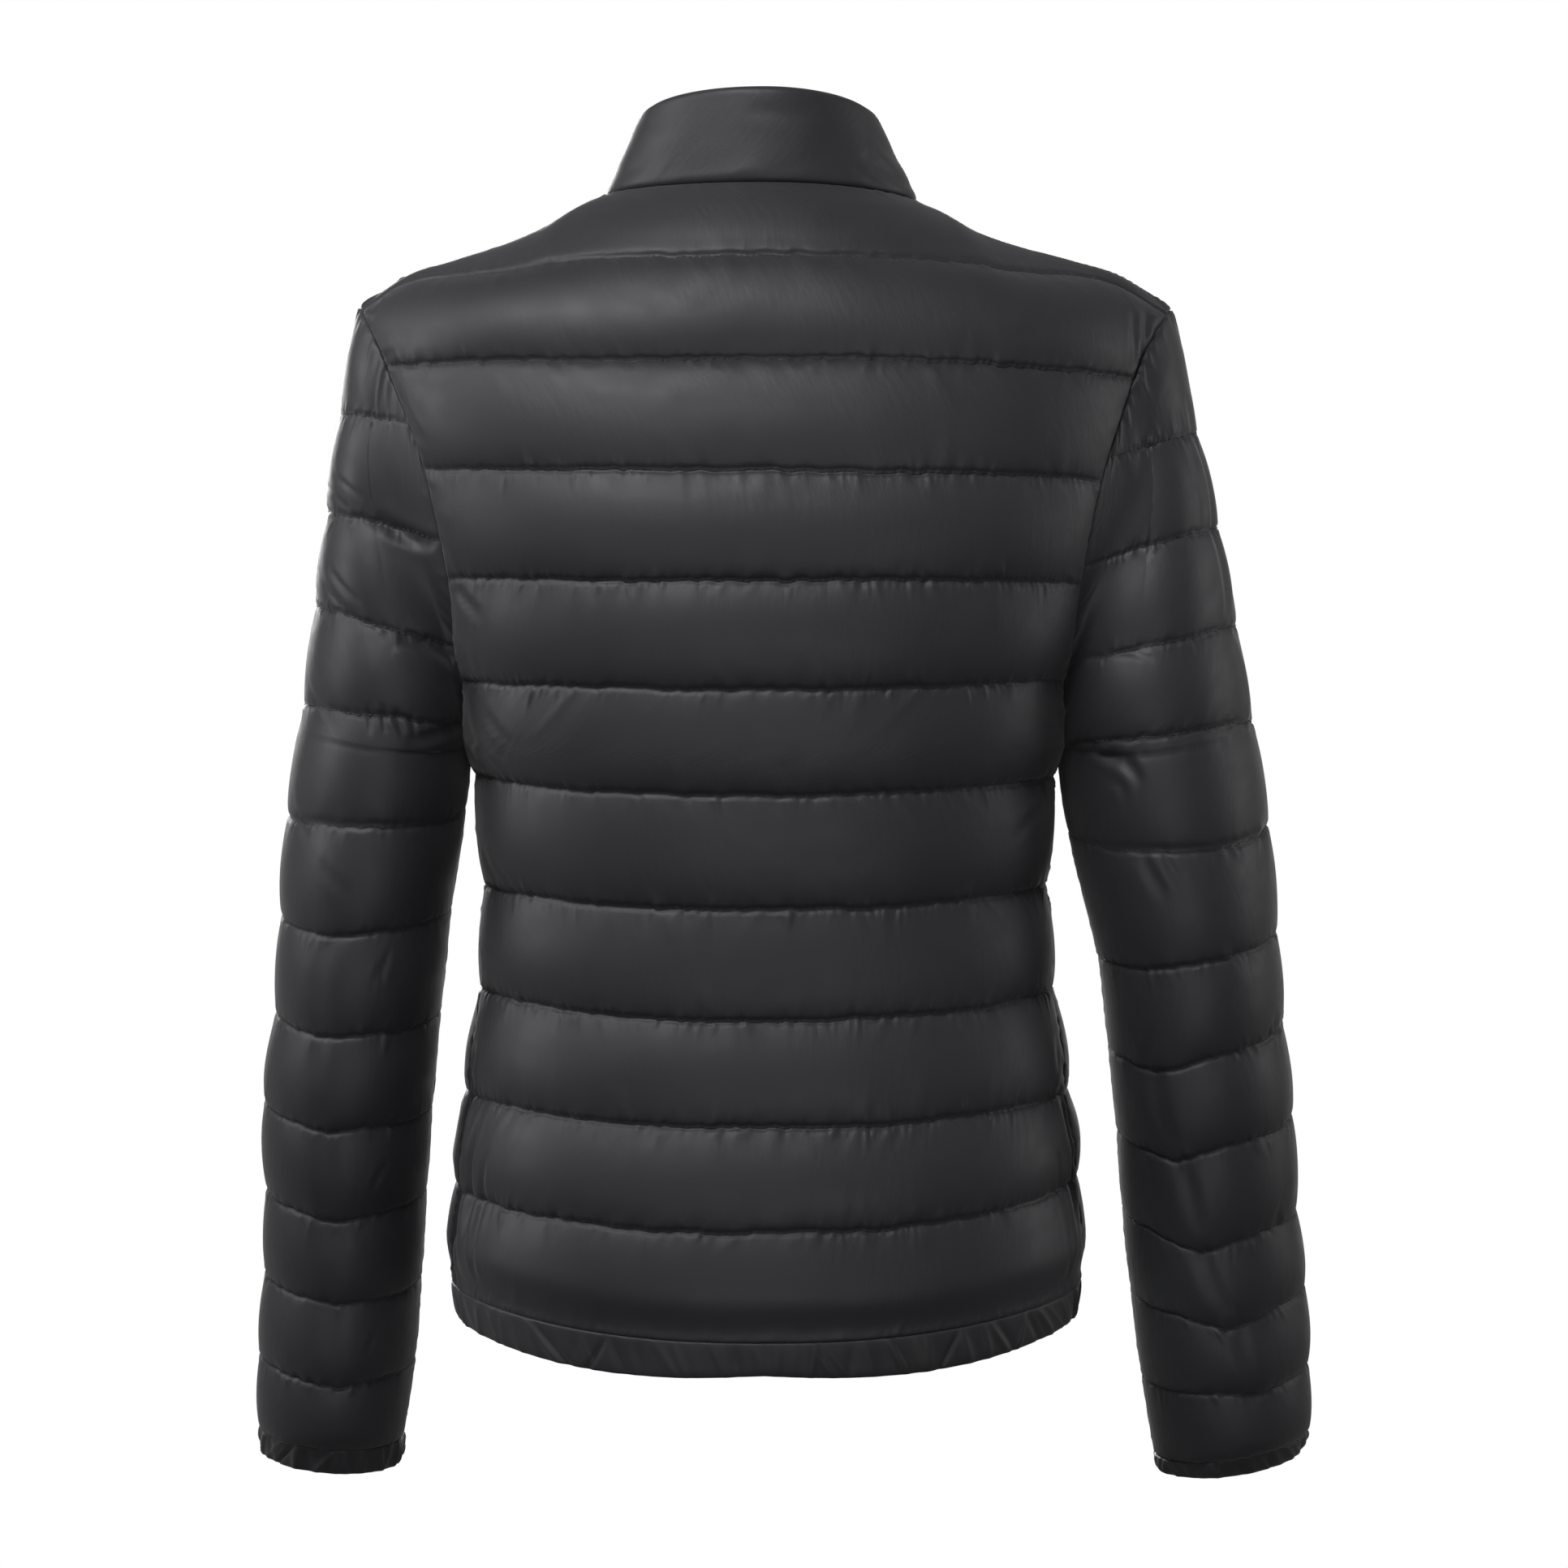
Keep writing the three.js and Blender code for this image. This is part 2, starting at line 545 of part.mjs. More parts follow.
function sleeveRows(side) {
  const loop = loops[side];
  const arch = [];
  for (let column = 0; column <= SLEEVE_COLUMNS; column++) arch.push(loop[CAP_STEPS + column]);
  const [first, second] = SLEEVES[side].rings.map((ring) => ring.q);
  const upper = (column) => (column === 0 || column === SLEEVE_COLUMNS
    ? loop[0].p.clone()
    : ringPoint(side, sleeveRing(side, first), columnTurn(column)));
  const slopes = arch.map((frame, column) => {
    const nearTip = 1 - Math.abs(column / (SLEEVE_COLUMNS / 2) - 1);
    const droop = mix(CAP_DROOP.edge, CAP_DROOP.tip, nearTip ** 2);
    const below = ringPoint(side, sleeveRing(side, second), columnTurn(column)).sub(upper(column)).normalize();
    const length = frame.p.distanceTo(upper(column));
    const start = frame.across.clone().addScaledVector(DOWN, droop).normalize().multiplyScalar(length);
    return { start, end: below.multiplyScalar(length) };
  });
  const free = (column, t) =>
    hermite(arch[column].p, slopes[column].start, upper(column), slopes[column].end, t);
  const rows = [];
  for (let i = 0; i <= CAP_STEPS; i++) {
    const t = i / CAP_STEPS;
    const row = [];
    for (let column = 0; column <= SLEEVE_COLUMNS; column++) {
      const share = column / SLEEVE_COLUMNS;
      const nearBack = Math.max(0, 1 - share / CAP_EDGE_BLEND) ** 2;
      const nearFront = Math.max(0, 1 - (1 - share) / CAP_EDGE_BLEND) ** 2;
      const p = free(column, t);
      p.addScaledVector(loop[CAP_STEPS - i].p.clone().sub(free(0, t)), nearBack);
      const frontEdge = loop[loop.length - 1 - CAP_STEPS + i].p;
      p.addScaledVector(frontEdge.clone().sub(free(SLEEVE_COLUMNS, t)), nearFront);
      row.push({ p, line: capLine(side, p) });
    }
    rows.push(row);
  }
  arch.forEach((frame, column) => seat(rows[0][column], frame, 1));
  for (let i = 1; i <= CAP_STEPS; i++) {
    seat(rows[i][0], loop[CAP_STEPS - i], 1);
    if (i < CAP_STEPS) seat(rows[i][SLEEVE_COLUMNS], loop[loop.length - 1 - CAP_STEPS + i], 1);
  }
  rows[CAP_STEPS][SLEEVE_COLUMNS] = rows[CAP_STEPS][0];
  const below = [(first + second) / 2, second];
  for (let q = second; q < SLEEVE_LAST_LINE; q++) {
    for (let k = 1; k <= CHANNEL_STEPS; k++) below.push(q + k / CHANNEL_STEPS);
  }
  for (const q of below) {
    const ring = sleeveRing(side, q);
    const row = [];
    for (let column = 0; column <= SLEEVE_COLUMNS; column++) {
      row.push({ p: ringPoint(side, ring, columnTurn(column)), line: q });
    }
    rows.push(row);
  }
  const bottom = rows[rows.length - 1];
  cuffFrames(side).forEach((frame, column) => seat(bottom[column], frame, -1));
  rows.forEach((row) => {
    row.forEach((station, column) => {
      const inward = Math.max(0, -Math.cos(columnTurn(column)));
      const keep = 1 - INNER_PUFF_LOSS * inward ** 2;
      thicken(station, SLEEVE_PUFF_OUT * keep, SLEEVE_PUFF_IN);
    });
  });
  return rows;
}

// The seam between sleeve and cuff: normals straight out from the sleeve's middle.
function cuffFrames(side) {
  const ring = sleeveRing(side, SLEEVE_LAST_LINE);
  const middle = vec((SIDE[side] * (ring.outX + ring.innerX)) / 2, ring.y, (ring.outZ + ring.innerZ) / 2);
  const frames = [];
  for (let column = 0; column <= SLEEVE_COLUMNS; column++) {
    const p = ringPoint(side, ring, columnTurn(column));
    const normal = p.clone().sub(middle).setZ(0).normalize();
    frames.push({ p, normal, across: DOWN });
  }
  return frames;
}

function sleeve(side) {
  return wall(sleeveRows(side), SIDE[side], CAP_STEPS);
}

function cuff(side) {
  const frames = cuffFrames(side);
  const bottom = SLEEVES[side].cuff;
  const rows = BAND_ROWS.map((t) =>
    frames.map((frame, column) => {
      const low = ringPoint(side, bottom, columnTurn(column));
      const station = { p: frame.p.clone().lerp(low, t), out: BAND_WALL / 2, inside: BAND_WALL / 2 };
      station.normal = frame.normal;
      if (t === 0) station.shift = DOWN.clone().multiplyScalar(SEAM_GAP / 2);
      return station;
    }),
  );
  return wall(rows, SIDE[side], 0);
}

// Collar and hem band: strips from one centre front round the back to the other

function nearCentre(p) {
  return p.y < 0 && Math.abs(p.x) <= CENTRE_FRONT + SEAM_GAP;
}

function neckStations() {
  const list = [];
  const add = (side, part, m) => {
    const frame = neckFrames(side, part)[m];
    list.push({ ...frame, side, part, share: m / NECK_COLUMNS });
  };
  for (let m = 0; m <= NECK_COLUMNS; m++) add("left", "front", m);
  for (let m = NECK_COLUMNS - 1; m >= 0; m--) add("left", "back", m);
  for (let m = 1; m <= NECK_COLUMNS; m++) add("right", "back", m);
  for (let m = NECK_COLUMNS - 1; m >= 0; m--) add("right", "front", m);
  return list;
}

function collarTop(station) {
  const turn = (station.share * Math.PI) / 2;
  const back = station.part === "back";
  const x = mix(back ? 0 : CENTRE_FRONT, COLLAR_TOP.half, Math.sin(turn));
  const y = (back ? COLLAR_TOP.backY : COLLAR_TOP.frontY) * Math.cos(turn);
  const centreZ = back ? COLLAR_TOP.backZ : COLLAR_TOP.frontZ;
  return vec(SIDE[station.side] * x, y, mix(COLLAR_TOP.sideZ, centreZ, Math.cos(turn) ** NECK_FALL_POWER));
}

function collar() {
  const stations = neckStations();
  const rows = COLLAR_ROWS.map((t) =>
    stations.map((station) => {
      const p = station.p.clone().lerp(collarTop(station), t);
      const level = vec(p.x, p.y, 0).normalize();
      const front = nearCentre(p);
      if (front) level.set(0, -1, 0);
      const half = t === 0 || front ? SEAM_WALL / 2 : COLLAR_WALL / 2;
      const made = { p, normal: t === 0 ? station.normal : level, out: half, inside: half };
      if (t === 0) made.shift = station.across.clone().multiplyScalar(SEAM_GAP / 2);
      return made;
    }),
  );
  return wall(rows, -1);
}

function hemStations() {
  const list = [];
  const add = (side, part, column) => {
    const { p, normal } = columns[side][part][column][0];
    list.push({ p, normal });
  };
  for (let column = 0; column <= SIDE_COLUMNS; column++) add("left", "front", column);
  for (let column = SIDE_COLUMNS - 1; column >= 0; column--) add("left", "back", column);
  for (let column = 1; column <= SIDE_COLUMNS; column++) add("right", "back", column);
  for (let column = SIDE_COLUMNS - 1; column >= 0; column--) add("right", "front", column);
  return list;
}

function hemBand() {
  const rows = BAND_ROWS.map((t) =>
    hemStations().map(({ p, normal }) => {
      const level = vec(normal.x, normal.y, 0).normalize();
      const low = p.clone().addScaledVector(level, -HEM_BAND.inset * t);
      low.z -= t * HEM_BAND.height;
      if (nearCentre(p)) low.x = p.x;
      const made = { p: low, normal: t === 0 ? normal : level, out: BAND_WALL / 2, inside: BAND_WALL / 2 };
      if (t === 0) made.shift = DOWN.clone().multiplyScalar(SEAM_GAP / 2);
      return made;
    }),
  );
  return wall(rows, -1);
}

// Zip

// The line down the closed front, from the collar's top to the hem's bottom, as heights, reaches and normals.
function centreFrontPath(side) {
  const edge = columns[side].front[0];
  const path = edge.map(({ p }) => ({ y: p.y, z: p.z }));
  path.unshift({ y: path[0].y + HEM_BAND.inset, z: path[0].z - HEM_BAND.height });
  path.push({ y: COLLAR_TOP.frontY, z: COLLAR_TOP.frontZ - ZIP.fromTop });
  return path.map((at, k) => {
    const before = path[Math.max(k - 1, 0)];
    const after = path[Math.min(k + 1, path.length - 1)];
    const length = Math.hypot(after.y - before.y, after.z - before.z);
    return { ...at, normalY: -(after.z - before.z) / length, normalZ: (after.y - before.y) / length };
  });
}

function zipHalf(side) {
  const near = SEAM_GAP / 2;
  const section = [
    [near, ZIP.tapeDeep],
    [ZIP.tapeReach, ZIP.tapeDeep],
    [ZIP.tapeReach, ZIP.tapeNear],
    [ZIP.barReach, ZIP.tapeNear],
    [ZIP.barReach, ZIP.barProud],
    [near, ZIP.barProud],
  ];
  const path = centreFrontPath(side);
  const points = [];
  for (const at of path) {
    for (const [x, out] of section) {
      points.push(vec(SIDE[side] * x, at.y + out * at.normalY, at.z + out * at.normalZ));
    }
  }
  const round = section.length;
  const triangles = [];
  for (let i = 0; i < path.length - 1; i++) {
    for (let k = 0; k < round; k++) {
      const next = (k + 1) % round;
      const [a, b] = [i * round + k, i * round + next];
      triangles.push(a, b, b + round, a, b + round, a + round);
    }
  }
  const flat = section.map(([x, out]) => new THREE.Vector2(x, out));
  const end = (path.length - 1) * round;
  for (const [a, b, c] of THREE.ShapeUtils.triangulateShape(flat, [])) {
    triangles.push(a, c, b, end + a, end + b, end + c);
  }
  return closedGeometry(points, triangles);
}

// A flat outline in y and z, given about the closed chain's top end, drawn out evenly along x.
const chainTop = { y: COLLAR_TOP.frontY, z: COLLAR_TOP.frontZ - ZIP.fromTop };

function alongX(outline, half) {
  const shape = new THREE.Shape(outline.map(([out, up]) => new THREE.Vector2(out, up)));
  const geometry = new THREE.ExtrudeGeometry(shape, { depth: 2 * half, bevelEnabled: false });
  // The outline's first coordinate is the way out of the front and its second is up.
  geometry.applyMatrix4(new THREE.Matrix4().makeBasis(vec(0, -1, 0), vec(0, 0, 1), vec(-1, 0, 0)));
  geometry.translate(half, chainTop.y, chainTop.z);
  return geometry;
}

function solidOf(geometry) {
  const bare = geometry.clone();
  bare.deleteAttribute("normal");
  bare.deleteAttribute("uv");
  const merged = mergeVertices(bare, 1e-4);
  const mesh = new wasm.Mesh({
    numProp: 3,
    vertProperties: merged.attributes.position.array,
    triVerts: new Uint32Array(merged.index.array),
  });
  return new wasm.Manifold(mesh);
}

function geometryOf(solid) {
  const mesh = solid.getMesh();
  const geometry = new THREE.BufferGeometry();
  geometry.setAttribute("position", new THREE.BufferAttribute(mesh.vertProperties, 3));
  geometry.setIndex(new THREE.BufferAttribute(mesh.triVerts, 1));
  geometry.computeVertexNormals();
  return geometry;
}

// The hinge of the tab lies in front of the slider's face, under the bridge.
const hinge = { out: SLIDER.frontFar + BRIDGE.out, up: POST.top - SLIDER.height / 2 };

// Two plates joined by a post over the chain's top end, with an arch on the front plate.
function zipSlider() {
  const block = (near, far, low, half) =>
    solidOf(
      alongX(
        [
          [near, low],
          [far, low],
          [far, POST.top],
          [near, POST.top],
        ],
        half,
      ),
    );
  const low = POST.top - SLIDER.height;
  const front = block(SLIDER.frontNear, SLIDER.frontFar, low, SLIDER.half);
  const rear = block(SLIDER.backFar, SLIDER.backNear, low, SLIDER.half);
  const post = block(SLIDER.backFar, SLIDER.frontFar, SEAM_GAP, POST.half);
  const { reach, wall: thick } = BRIDGE;
  const foot = SLIDER.frontFar - BRIDGE.sunk;
  const under = hinge.out + BRIDGE.clear;
  const arch = alongX(
    [
      [foot, hinge.up - reach - thick],
      [under, hinge.up - reach - thick],
      [under + thick, hinge.up - reach],
      [under + thick, hinge.up + reach],
      [under, hinge.up + reach + thick],
      [foot, hinge.up + reach + thick],
      [foot, hinge.up + reach],
      [under, hinge.up + reach],
      [under, hinge.up - reach],
      [foot, hinge.up - reach],
    ],
    BRIDGE.half,
  );
  return geometryOf(front.add(rear).add(post).add(solidOf(arch)));
}

// A plate with a window: the window's top bar lies under the bridge and the plate hangs from it.
function zipPull() {
  const top = TAB.barRadius;
  const shape = new THREE.Shape();
  shape.moveTo(-TAB.half, top);
  shape.lineTo(-TAB.half, -TAB.shoulder);
  shape.absarc(0, -TAB.length + TAB.tipHalf, TAB.tipHalf, Math.PI, 2 * Math.PI, false);
  shape.lineTo(TAB.half, -TAB.shoulder);
  shape.lineTo(TAB.half, top);
  const hole = new THREE.Path();
  hole.moveTo(-TAB.window, -TAB.barRadius);
  hole.lineTo(TAB.window, -TAB.barRadius);
  hole.lineTo(TAB.window, -TAB.windowLength);
  hole.lineTo(-TAB.window, -TAB.windowLength);
  shape.holes.push(hole);
  const geometry = new THREE.ExtrudeGeometry(shape, {
    depth: TAB.thick,
    bevelEnabled: false,
    curveSegments: 8,
  });
  geometry.translate(0, 0, -TAB.thick / 2);
  geometry.rotateX(Math.PI / 2);
  return geometry;
}

// The jacket

const jacket = new THREE.Group();

function add(name, geometry, look) {
  const mesh = new THREE.Mesh(geometry, new THREE.MeshStandardMaterial(look));
  mesh.name = name;
  jacket.add(mesh);
  return mesh;
}

add("back", backPanel(), CLOTH);
add("collar", collar(), CLOTH);
add("hem_band", hemBand(), BAND_CLOTH);
for (const side of ["left", "right"]) {
  add("front_" + side, frontPanel(side), CLOTH);
  add("sleeve_" + side, sleeve(side), CLOTH);
  add("cuff_" + side, cuff(side), BAND_CLOTH);
  add("zip_" + side, zipHalf(side), ZIP_CLOTH);
}
add("zip_slider", zipSlider(), ZIP_METAL);
const pull = add("zip_pull", zipPull(), ZIP_METAL);
pull.position.set(0, chainTop.y - hinge.out, chainTop.z + hinge.up);

export default jacket;
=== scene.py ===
import math

import bmesh
import bpy
import numpy as np
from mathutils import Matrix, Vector


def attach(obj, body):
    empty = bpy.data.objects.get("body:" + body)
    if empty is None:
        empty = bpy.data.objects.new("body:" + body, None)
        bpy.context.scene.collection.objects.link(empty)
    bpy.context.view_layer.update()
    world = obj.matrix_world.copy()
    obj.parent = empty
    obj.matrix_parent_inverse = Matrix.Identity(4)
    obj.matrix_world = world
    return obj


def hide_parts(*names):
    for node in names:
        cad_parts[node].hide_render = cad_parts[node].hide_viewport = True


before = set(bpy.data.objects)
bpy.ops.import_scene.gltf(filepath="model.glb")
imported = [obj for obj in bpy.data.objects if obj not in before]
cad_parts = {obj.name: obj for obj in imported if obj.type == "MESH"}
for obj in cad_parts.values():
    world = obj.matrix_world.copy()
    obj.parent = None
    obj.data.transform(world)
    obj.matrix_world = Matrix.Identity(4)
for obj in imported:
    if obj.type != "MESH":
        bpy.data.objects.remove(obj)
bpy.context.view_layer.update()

# A quilted light down jacket in its worn shape. All shapes are worked out in millimetres, and made in metres.
# The front faces -Y and the wearer's left is +X, so the main view looks at the back along -Y.
METRE = 0.001
UV_LENGTH = 100
SIDE = {"left": 1, "right": -1}


def table(names, rows):
    """A short table as one array for each named column."""
    return dict(zip(names.split(), np.array(rows, dtype=float).T))


# Driving dimensions
RING_SQUARENESS = 2.4
CENTRE_FRONT = 3.4
TORSO_PUFF = 6.6
SLEEVE_PUFF = 5.2
LINING_PUFF = 2.2
YOKE_PUFF = 0.35
SIDE_PUFF = 0.55
SIDE_REACH = 70
NARROW_CHANNEL = 45
HEM_EASE = 24
GROOVE = 0.55
GROOVE_WIDTH = 1.3
SEAM_OUT = 0.5
SEAM_IN = 1.2
SEAM_PINCH = 1.6
SAG = 0.86
ROUNDNESS = 0.82
LINING_PUFF_POWER = 0.6
SLEEVE_LINING_PUFF = 1.6
CHANNEL_RANGE = (6, 66)
LEAST_CHANNEL = 35
BAND_HALF = 1.3
COLLAR_HALF = 2.4

# Unevenness of the channels: its amount, and the millimetres of cloth that it changes over
SOFT_LONG = {"amount": 0.07, "along": 70, "start": 7}
SOFT_SHORT = {"amount": 0.04, "along": 26, "down": 36}
DRAG = {"amount": 0.16, "along": 24, "down": 40, "slant": 0.3}
WOBBLE = {"long": 38, "short": 14, "near": 0.07, "scallop": 0.75, "scallop_along": 3.6}

# Puckers: the spread of one ridge's gap, reach, width and rise, as shares of the usual ones
PUCKER = {"gap": (0.45, 1.5), "reach": (0.45, 1.0), "width": (0.24, 0.4), "rise": (0.35, 1.25)}
PUCKER_LEAN = 0.3
PUCKER_START = 0.7
STRAY_PUCKER = {"share": 0.16, "longer": 2.2}
PUCKER_SPACING = {"torso": 3.1, "sleeve": 4.3, "seam": 6.5}
LINE_PUCKER = {"above": (3.4, 1.0), "below": (3.8, 1.1), "within": 32}
LONG_PUCKER = {"spacing": 4, "length": 3, "height": 0.55}
PUCKER_PATCH = {"amount": 0.35, "along": 45}
SEAM_PUCKER = {"length": 9, "within": 20}

# The torso, one row for each line of quilting from the hem seam up, as half widths and reaches.
TORSO = table(
    "z rise_left rise_right left right back front seam",
    [
        (-592, 19, 19, 165, 167, 128, 130, 22),
        (-536, 14, 18, 161, 164, 126, 128, 28),
        (-483, 11, 11, 156, 159, 119, 120, 30),
        (-429, 11, 11, 149, 151.5, 113, 115, 20),
        (-372, 9, 9, 147, 148, 112, 118, 10),
        (-313, 8, 7, 152, 152, 118, 128, 4),
        (-259, 4, 4, 163, 162, 125, 136, 3),
        (-204, 2, -1, 178, 178, 127, 134, 3),
        (-148, 3, -6, 196, 194, 122, 126, 3),
        (-91, -1, -9, 208, 203, 108, 112, 3),
    ],
)
ARMHOLE = table("back front", [(44, 40), (62, 56), (66, 58), (46, 40)])
ARMHOLE_FIRST_LINE = 6
ARMHOLE_OUTWARD = 0.35
STEPS = 3
UNDERARM_STATION = 16
UNDERARM_LINE = UNDERARM_STATION / STEPS
LOOP_HALF = 15
FROM_LINE = {"back": 9, "front": 8}
YOKE_STEPS = {"back": 4, "front": 7}
RISE_POWER = 2.3
YOKE_FULLNESS = 1.15
COLUMNS = 8
NECK_COLUMNS = 3

# Neck, shoulders and collar
SHOULDER = {
    "left": {"neck_x": 82, "neck_z": 0, "tip_x": 213, "tip_z": -62},
    "right": {"neck_x": 79, "neck_z": -4, "tip_x": 214, "tip_z": -63},
}
NECK = {"back": {"y": 58, "z": 3}, "front": {"y": -78, "z": -62}}
NECK_FALL_POWER = 1.5
SHOULDER_STRAIGHT = 0.93
SHOULDER_DROP_POWER = 6
COLLAR_TOP = {
    "left": 64,
    "right": 58,
    "side_z": 40,
    "back": {"y": 51, "z": 53},
    "front": {"y": -78, "z": -12},
}
COLLAR_CORNER = {"left": 0.6, "right": 1.0}
CORNER_SOFT = 0.02
SHOULDER_SET = {
    "left": np.array([0, -4, -4, -0.5, 5, 2.5]),
    "right": np.array([0, -4, -2.5, 2, 6, 2.5]),
}
SET_FROM = {"back": 9.3, "front": 0.5}
SET_OVER = {"back": 1.2, "front": 0.5}
YOKE_ARRIVAL = table("in_x up", [(0, 0.9), (0.4, 0.7), (0.8, 0.55), (0.6, 0.3), (0.2, 0.08), (0, 0)])
FRONT_YOKE_LEVELS = (-148, -91, -40, 0)
YOKE_LINE = {"middle_z": -37, "fall": 15, "reach": 205, "power": 2.5, "least": 0.2, "most": 0.74}
YOKE_LINE_EVEN = 12
YOKE_THIN = {"from_line": 9.8, "over": 0.4, "front": 75}

# The sleeves, one row for each ring from the underarm down
RING = "q out_x out_z inner_x inner_z y depth drop"
RINGS = {
    "left": table(
        RING,
        [
            (4.2, 244, -280, 157, -288, 0, 64, 6),
            (5, 251, -326, 159, -324, 0, 62, 7.5),
            (6, 255, -379, 167, -377, -3, 59, 9.5),
            (7, 258.5, -430, 173, -432, -8, 56, 8.5),
            (8, 265, -478, 178, -483, -14, 53, 8.6),
            (9, 265, -525, 181.5, -528, -22, 50, 10.7),
            (10, 266.5, -572, 185, -576, -30, 48, 9),
            (11, 270.5, -617, 189, -621, -38, 46, 8),
            (12, 271, -658, 196, -664, -45, 41, 4.3),
        ],
    ),
    "right": table(
        RING,
        [
            (4, 257, -278, 156, -288, 0, 64, 8),
            (5, 265.5, -333, 161.5, -336, 0, 62, 10),
            (6, 270.5, -388, 177.5, -402, -3, 59, 8),
            (7, 274, -436, 183.5, -450, -8, 56, 10.6),
            (8, 280, -486, 188.5, -496, -14, 53, 9.5),
            (9, 283, -537, 192, -538, -22, 50, 12.5),
            (10, 288, -579, 197, -582, -30, 48, 12),
            (11, 291, -622, 203.5, -630, -38, 46, 7),
            (12, 292, -660, 211, -673, -45, 41, 4),
        ],
    ),
}
CUFF_RING = {
    "left": table(RING, [(13, 270.5, -669, 198, -675, -47, 36, 5)] * 2),
    "right": table(RING, [(13, 289.5, -669, 213, -680, -47, 36, 6)] * 2),
}
CUFF_DROP = {"left": 2.5, "right": 0.5}
CAP_LINES = {
    "left": table(
        "out edge",
        [(-62, -62), (-110, -127), (-163, -184), (-214, -238), (-269, -278), (-326, -324)],
    ),
    "right": table(
        "out edge",
        [(-63, -63), (-118, -144), (-169, -197), (-225, -246), (-278, -289), (-333, -336)],
    ),
}
LAST_LINE = 12
SLEEVE_COLUMNS = 14
CAP_STEPS = 8
CAP_EDGE_STEP = 4
CAP_DROOP = {"edge": 1.2, "tip": 3.3}
CAP_EDGE_BLEND = 0.3
INNER_PUFF_LOSS = 0.85
OUTER_PUFF_LOSS = 0.5

# The hem band and the zip
HEM_BAND = {"height": 17, "inset": 3, "fuller": 3, "fuller_to": 178}
ZIP = {"reach": 6.5, "deep": -3.9, "near": -3.2, "from_top": 7}
TOOTH = {"pitch": 2.6, "height": 1.5, "reach": 3.1, "deep": -2.4, "proud": 0.9}

# Steps of the fine grids. Each count is a multiple of COARSE, the step of the lining's grid.
COARSE = 4
CHANNEL_ROWS = 20
BACK_YOKE_ROWS = 24
FRONT_YOKE_ROWS = 68
BACK_HALF_COLUMNS = 188
FRONT_COLUMNS = 160
CAP_ROWS = 124
UPPER_ROWS = 16
SLEEVE_CHANNEL_ROWS = 20
SLEEVE_FINE_COLUMNS = 256


# Numbers and vectors


def curve(values, at):
    """A column of a table at a fractional row, by a curve through the rows."""
    last = len(values) - 1
    at = np.asarray(at, dtype=float)
    i = np.clip(np.floor(at), 0, last - 1).astype(int)
    t = at - i
    a, b, c, d = (values[np.clip(i + k, 0, last)] for k in (-1, 0, 1, 2))
    return 0.5 * (2 * b + t * (c - a + t * (2 * a - 5 * b + 4 * c - d + t * (3 * b - a - 3 * c + d))))


def power(base, exponent):
    return np.sign(base) * np.abs(base) ** exponent


def points(x, y, z):
    return np.stack(np.broadcast_arrays(x, y, z), axis=-1).astype(float)


def unit(v):
    return v / np.maximum(np.linalg.norm(v, axis=-1, keepdims=True), 1e-9)


def hermite(a, slope_a, b, slope_b, t):
    t = np.asarray(t, dtype=float)[..., None]
    made = a * (2 * t**3 - 3 * t**2 + 1) + slope_a * (t**3 - 2 * t**2 + t)
    return made + b * (3 * t**2 - 2 * t**3) + slope_b * (t**3 - t**2)


def noise(seed, u, v):
    """Smooth random numbers from -1 to 1, one lattice cell to a unit."""
    cells = 64
    lattice = np.random.default_rng(seed).uniform(-1, 1, (cells, cells))
    i, j = np.floor(u).astype(int), np.floor(v).astype(int)
    s, t = u - i, v - j
    s, t = s * s * (3 - 2 * s), t * t * (3 - 2 * t)
    at = lambda a, b: lattice[a % cells, b % cells]
    low = at(i, j) * (1 - s) + at(i + 1, j) * s
    high = at(i, j + 1) * (1 - s) + at(i + 1, j + 1) * s
    return low * (1 - t) + high * t


def channel_steps(count):
    """Fractions of a channel from above 0 to 1, closer together near its two lines."""
    even = np.arange(1, count + 1) / count
    return 0.5 * even + 0.25 * (1 - np.cos(np.pi * even))


# The torso's middle surface. Stations count thirds of a channel from the hem seam up, then the yoke's steps.


def torso_point(side, angle, line):
    sine, cosine = np.sin(angle), np.cos(angle)
    reach = np.where(cosine > 0, curve(TORSO["back"], line), curve(TORSO["front"], line))
    across = power(sine, 2 / RING_SQUARENESS)
    along = power(cosine, 2 / RING_SQUARENESS)
    lift = np.where(cosine > 0, np.abs(across) ** RISE_POWER, 1)
    z = curve(TORSO["z"], line) + curve(TORSO["rise_" + side], line) * lift
    return points(SIDE[side] * curve(TORSO[side], line) * across, reach * along, z)


def edge_angle(part, line):
    """The angle of the side seam, and above the underarm of the armhole's edge."""
    line = np.asarray(line, dtype=float)
    sign = 1 if part == "back" else -1
    seam = curve(TORSO["seam"], line)
    hole = sign * curve(ARMHOLE[part], line - ARMHOLE_FIRST_LINE)
    rounding = (line - UNDERARM_LINE) / (ARMHOLE_FIRST_LINE - UNDERARM_LINE)
    turning = seam + (sign * ARMHOLE[part][0] - seam) * np.sqrt(np.clip(rounding, 0, 1))
    reach = np.where(line >= ARMHOLE_FIRST_LINE, hole, turning)
    full = np.where(reach > 0, curve(TORSO["back"], line), curve(TORSO["front"], line))
    return np.arccos(power(reach / full, RING_SQUARENESS / 2))


def column_angle(side, part, share, line):
    edge = edge_angle(part, line)
    if part == "back":
        return edge * share
    middle = math.pi - np.arcsin((CENTRE_FRONT / curve(TORSO[side], line)) ** (RING_SQUARENESS / 2))
    return middle + (edge - middle) * share


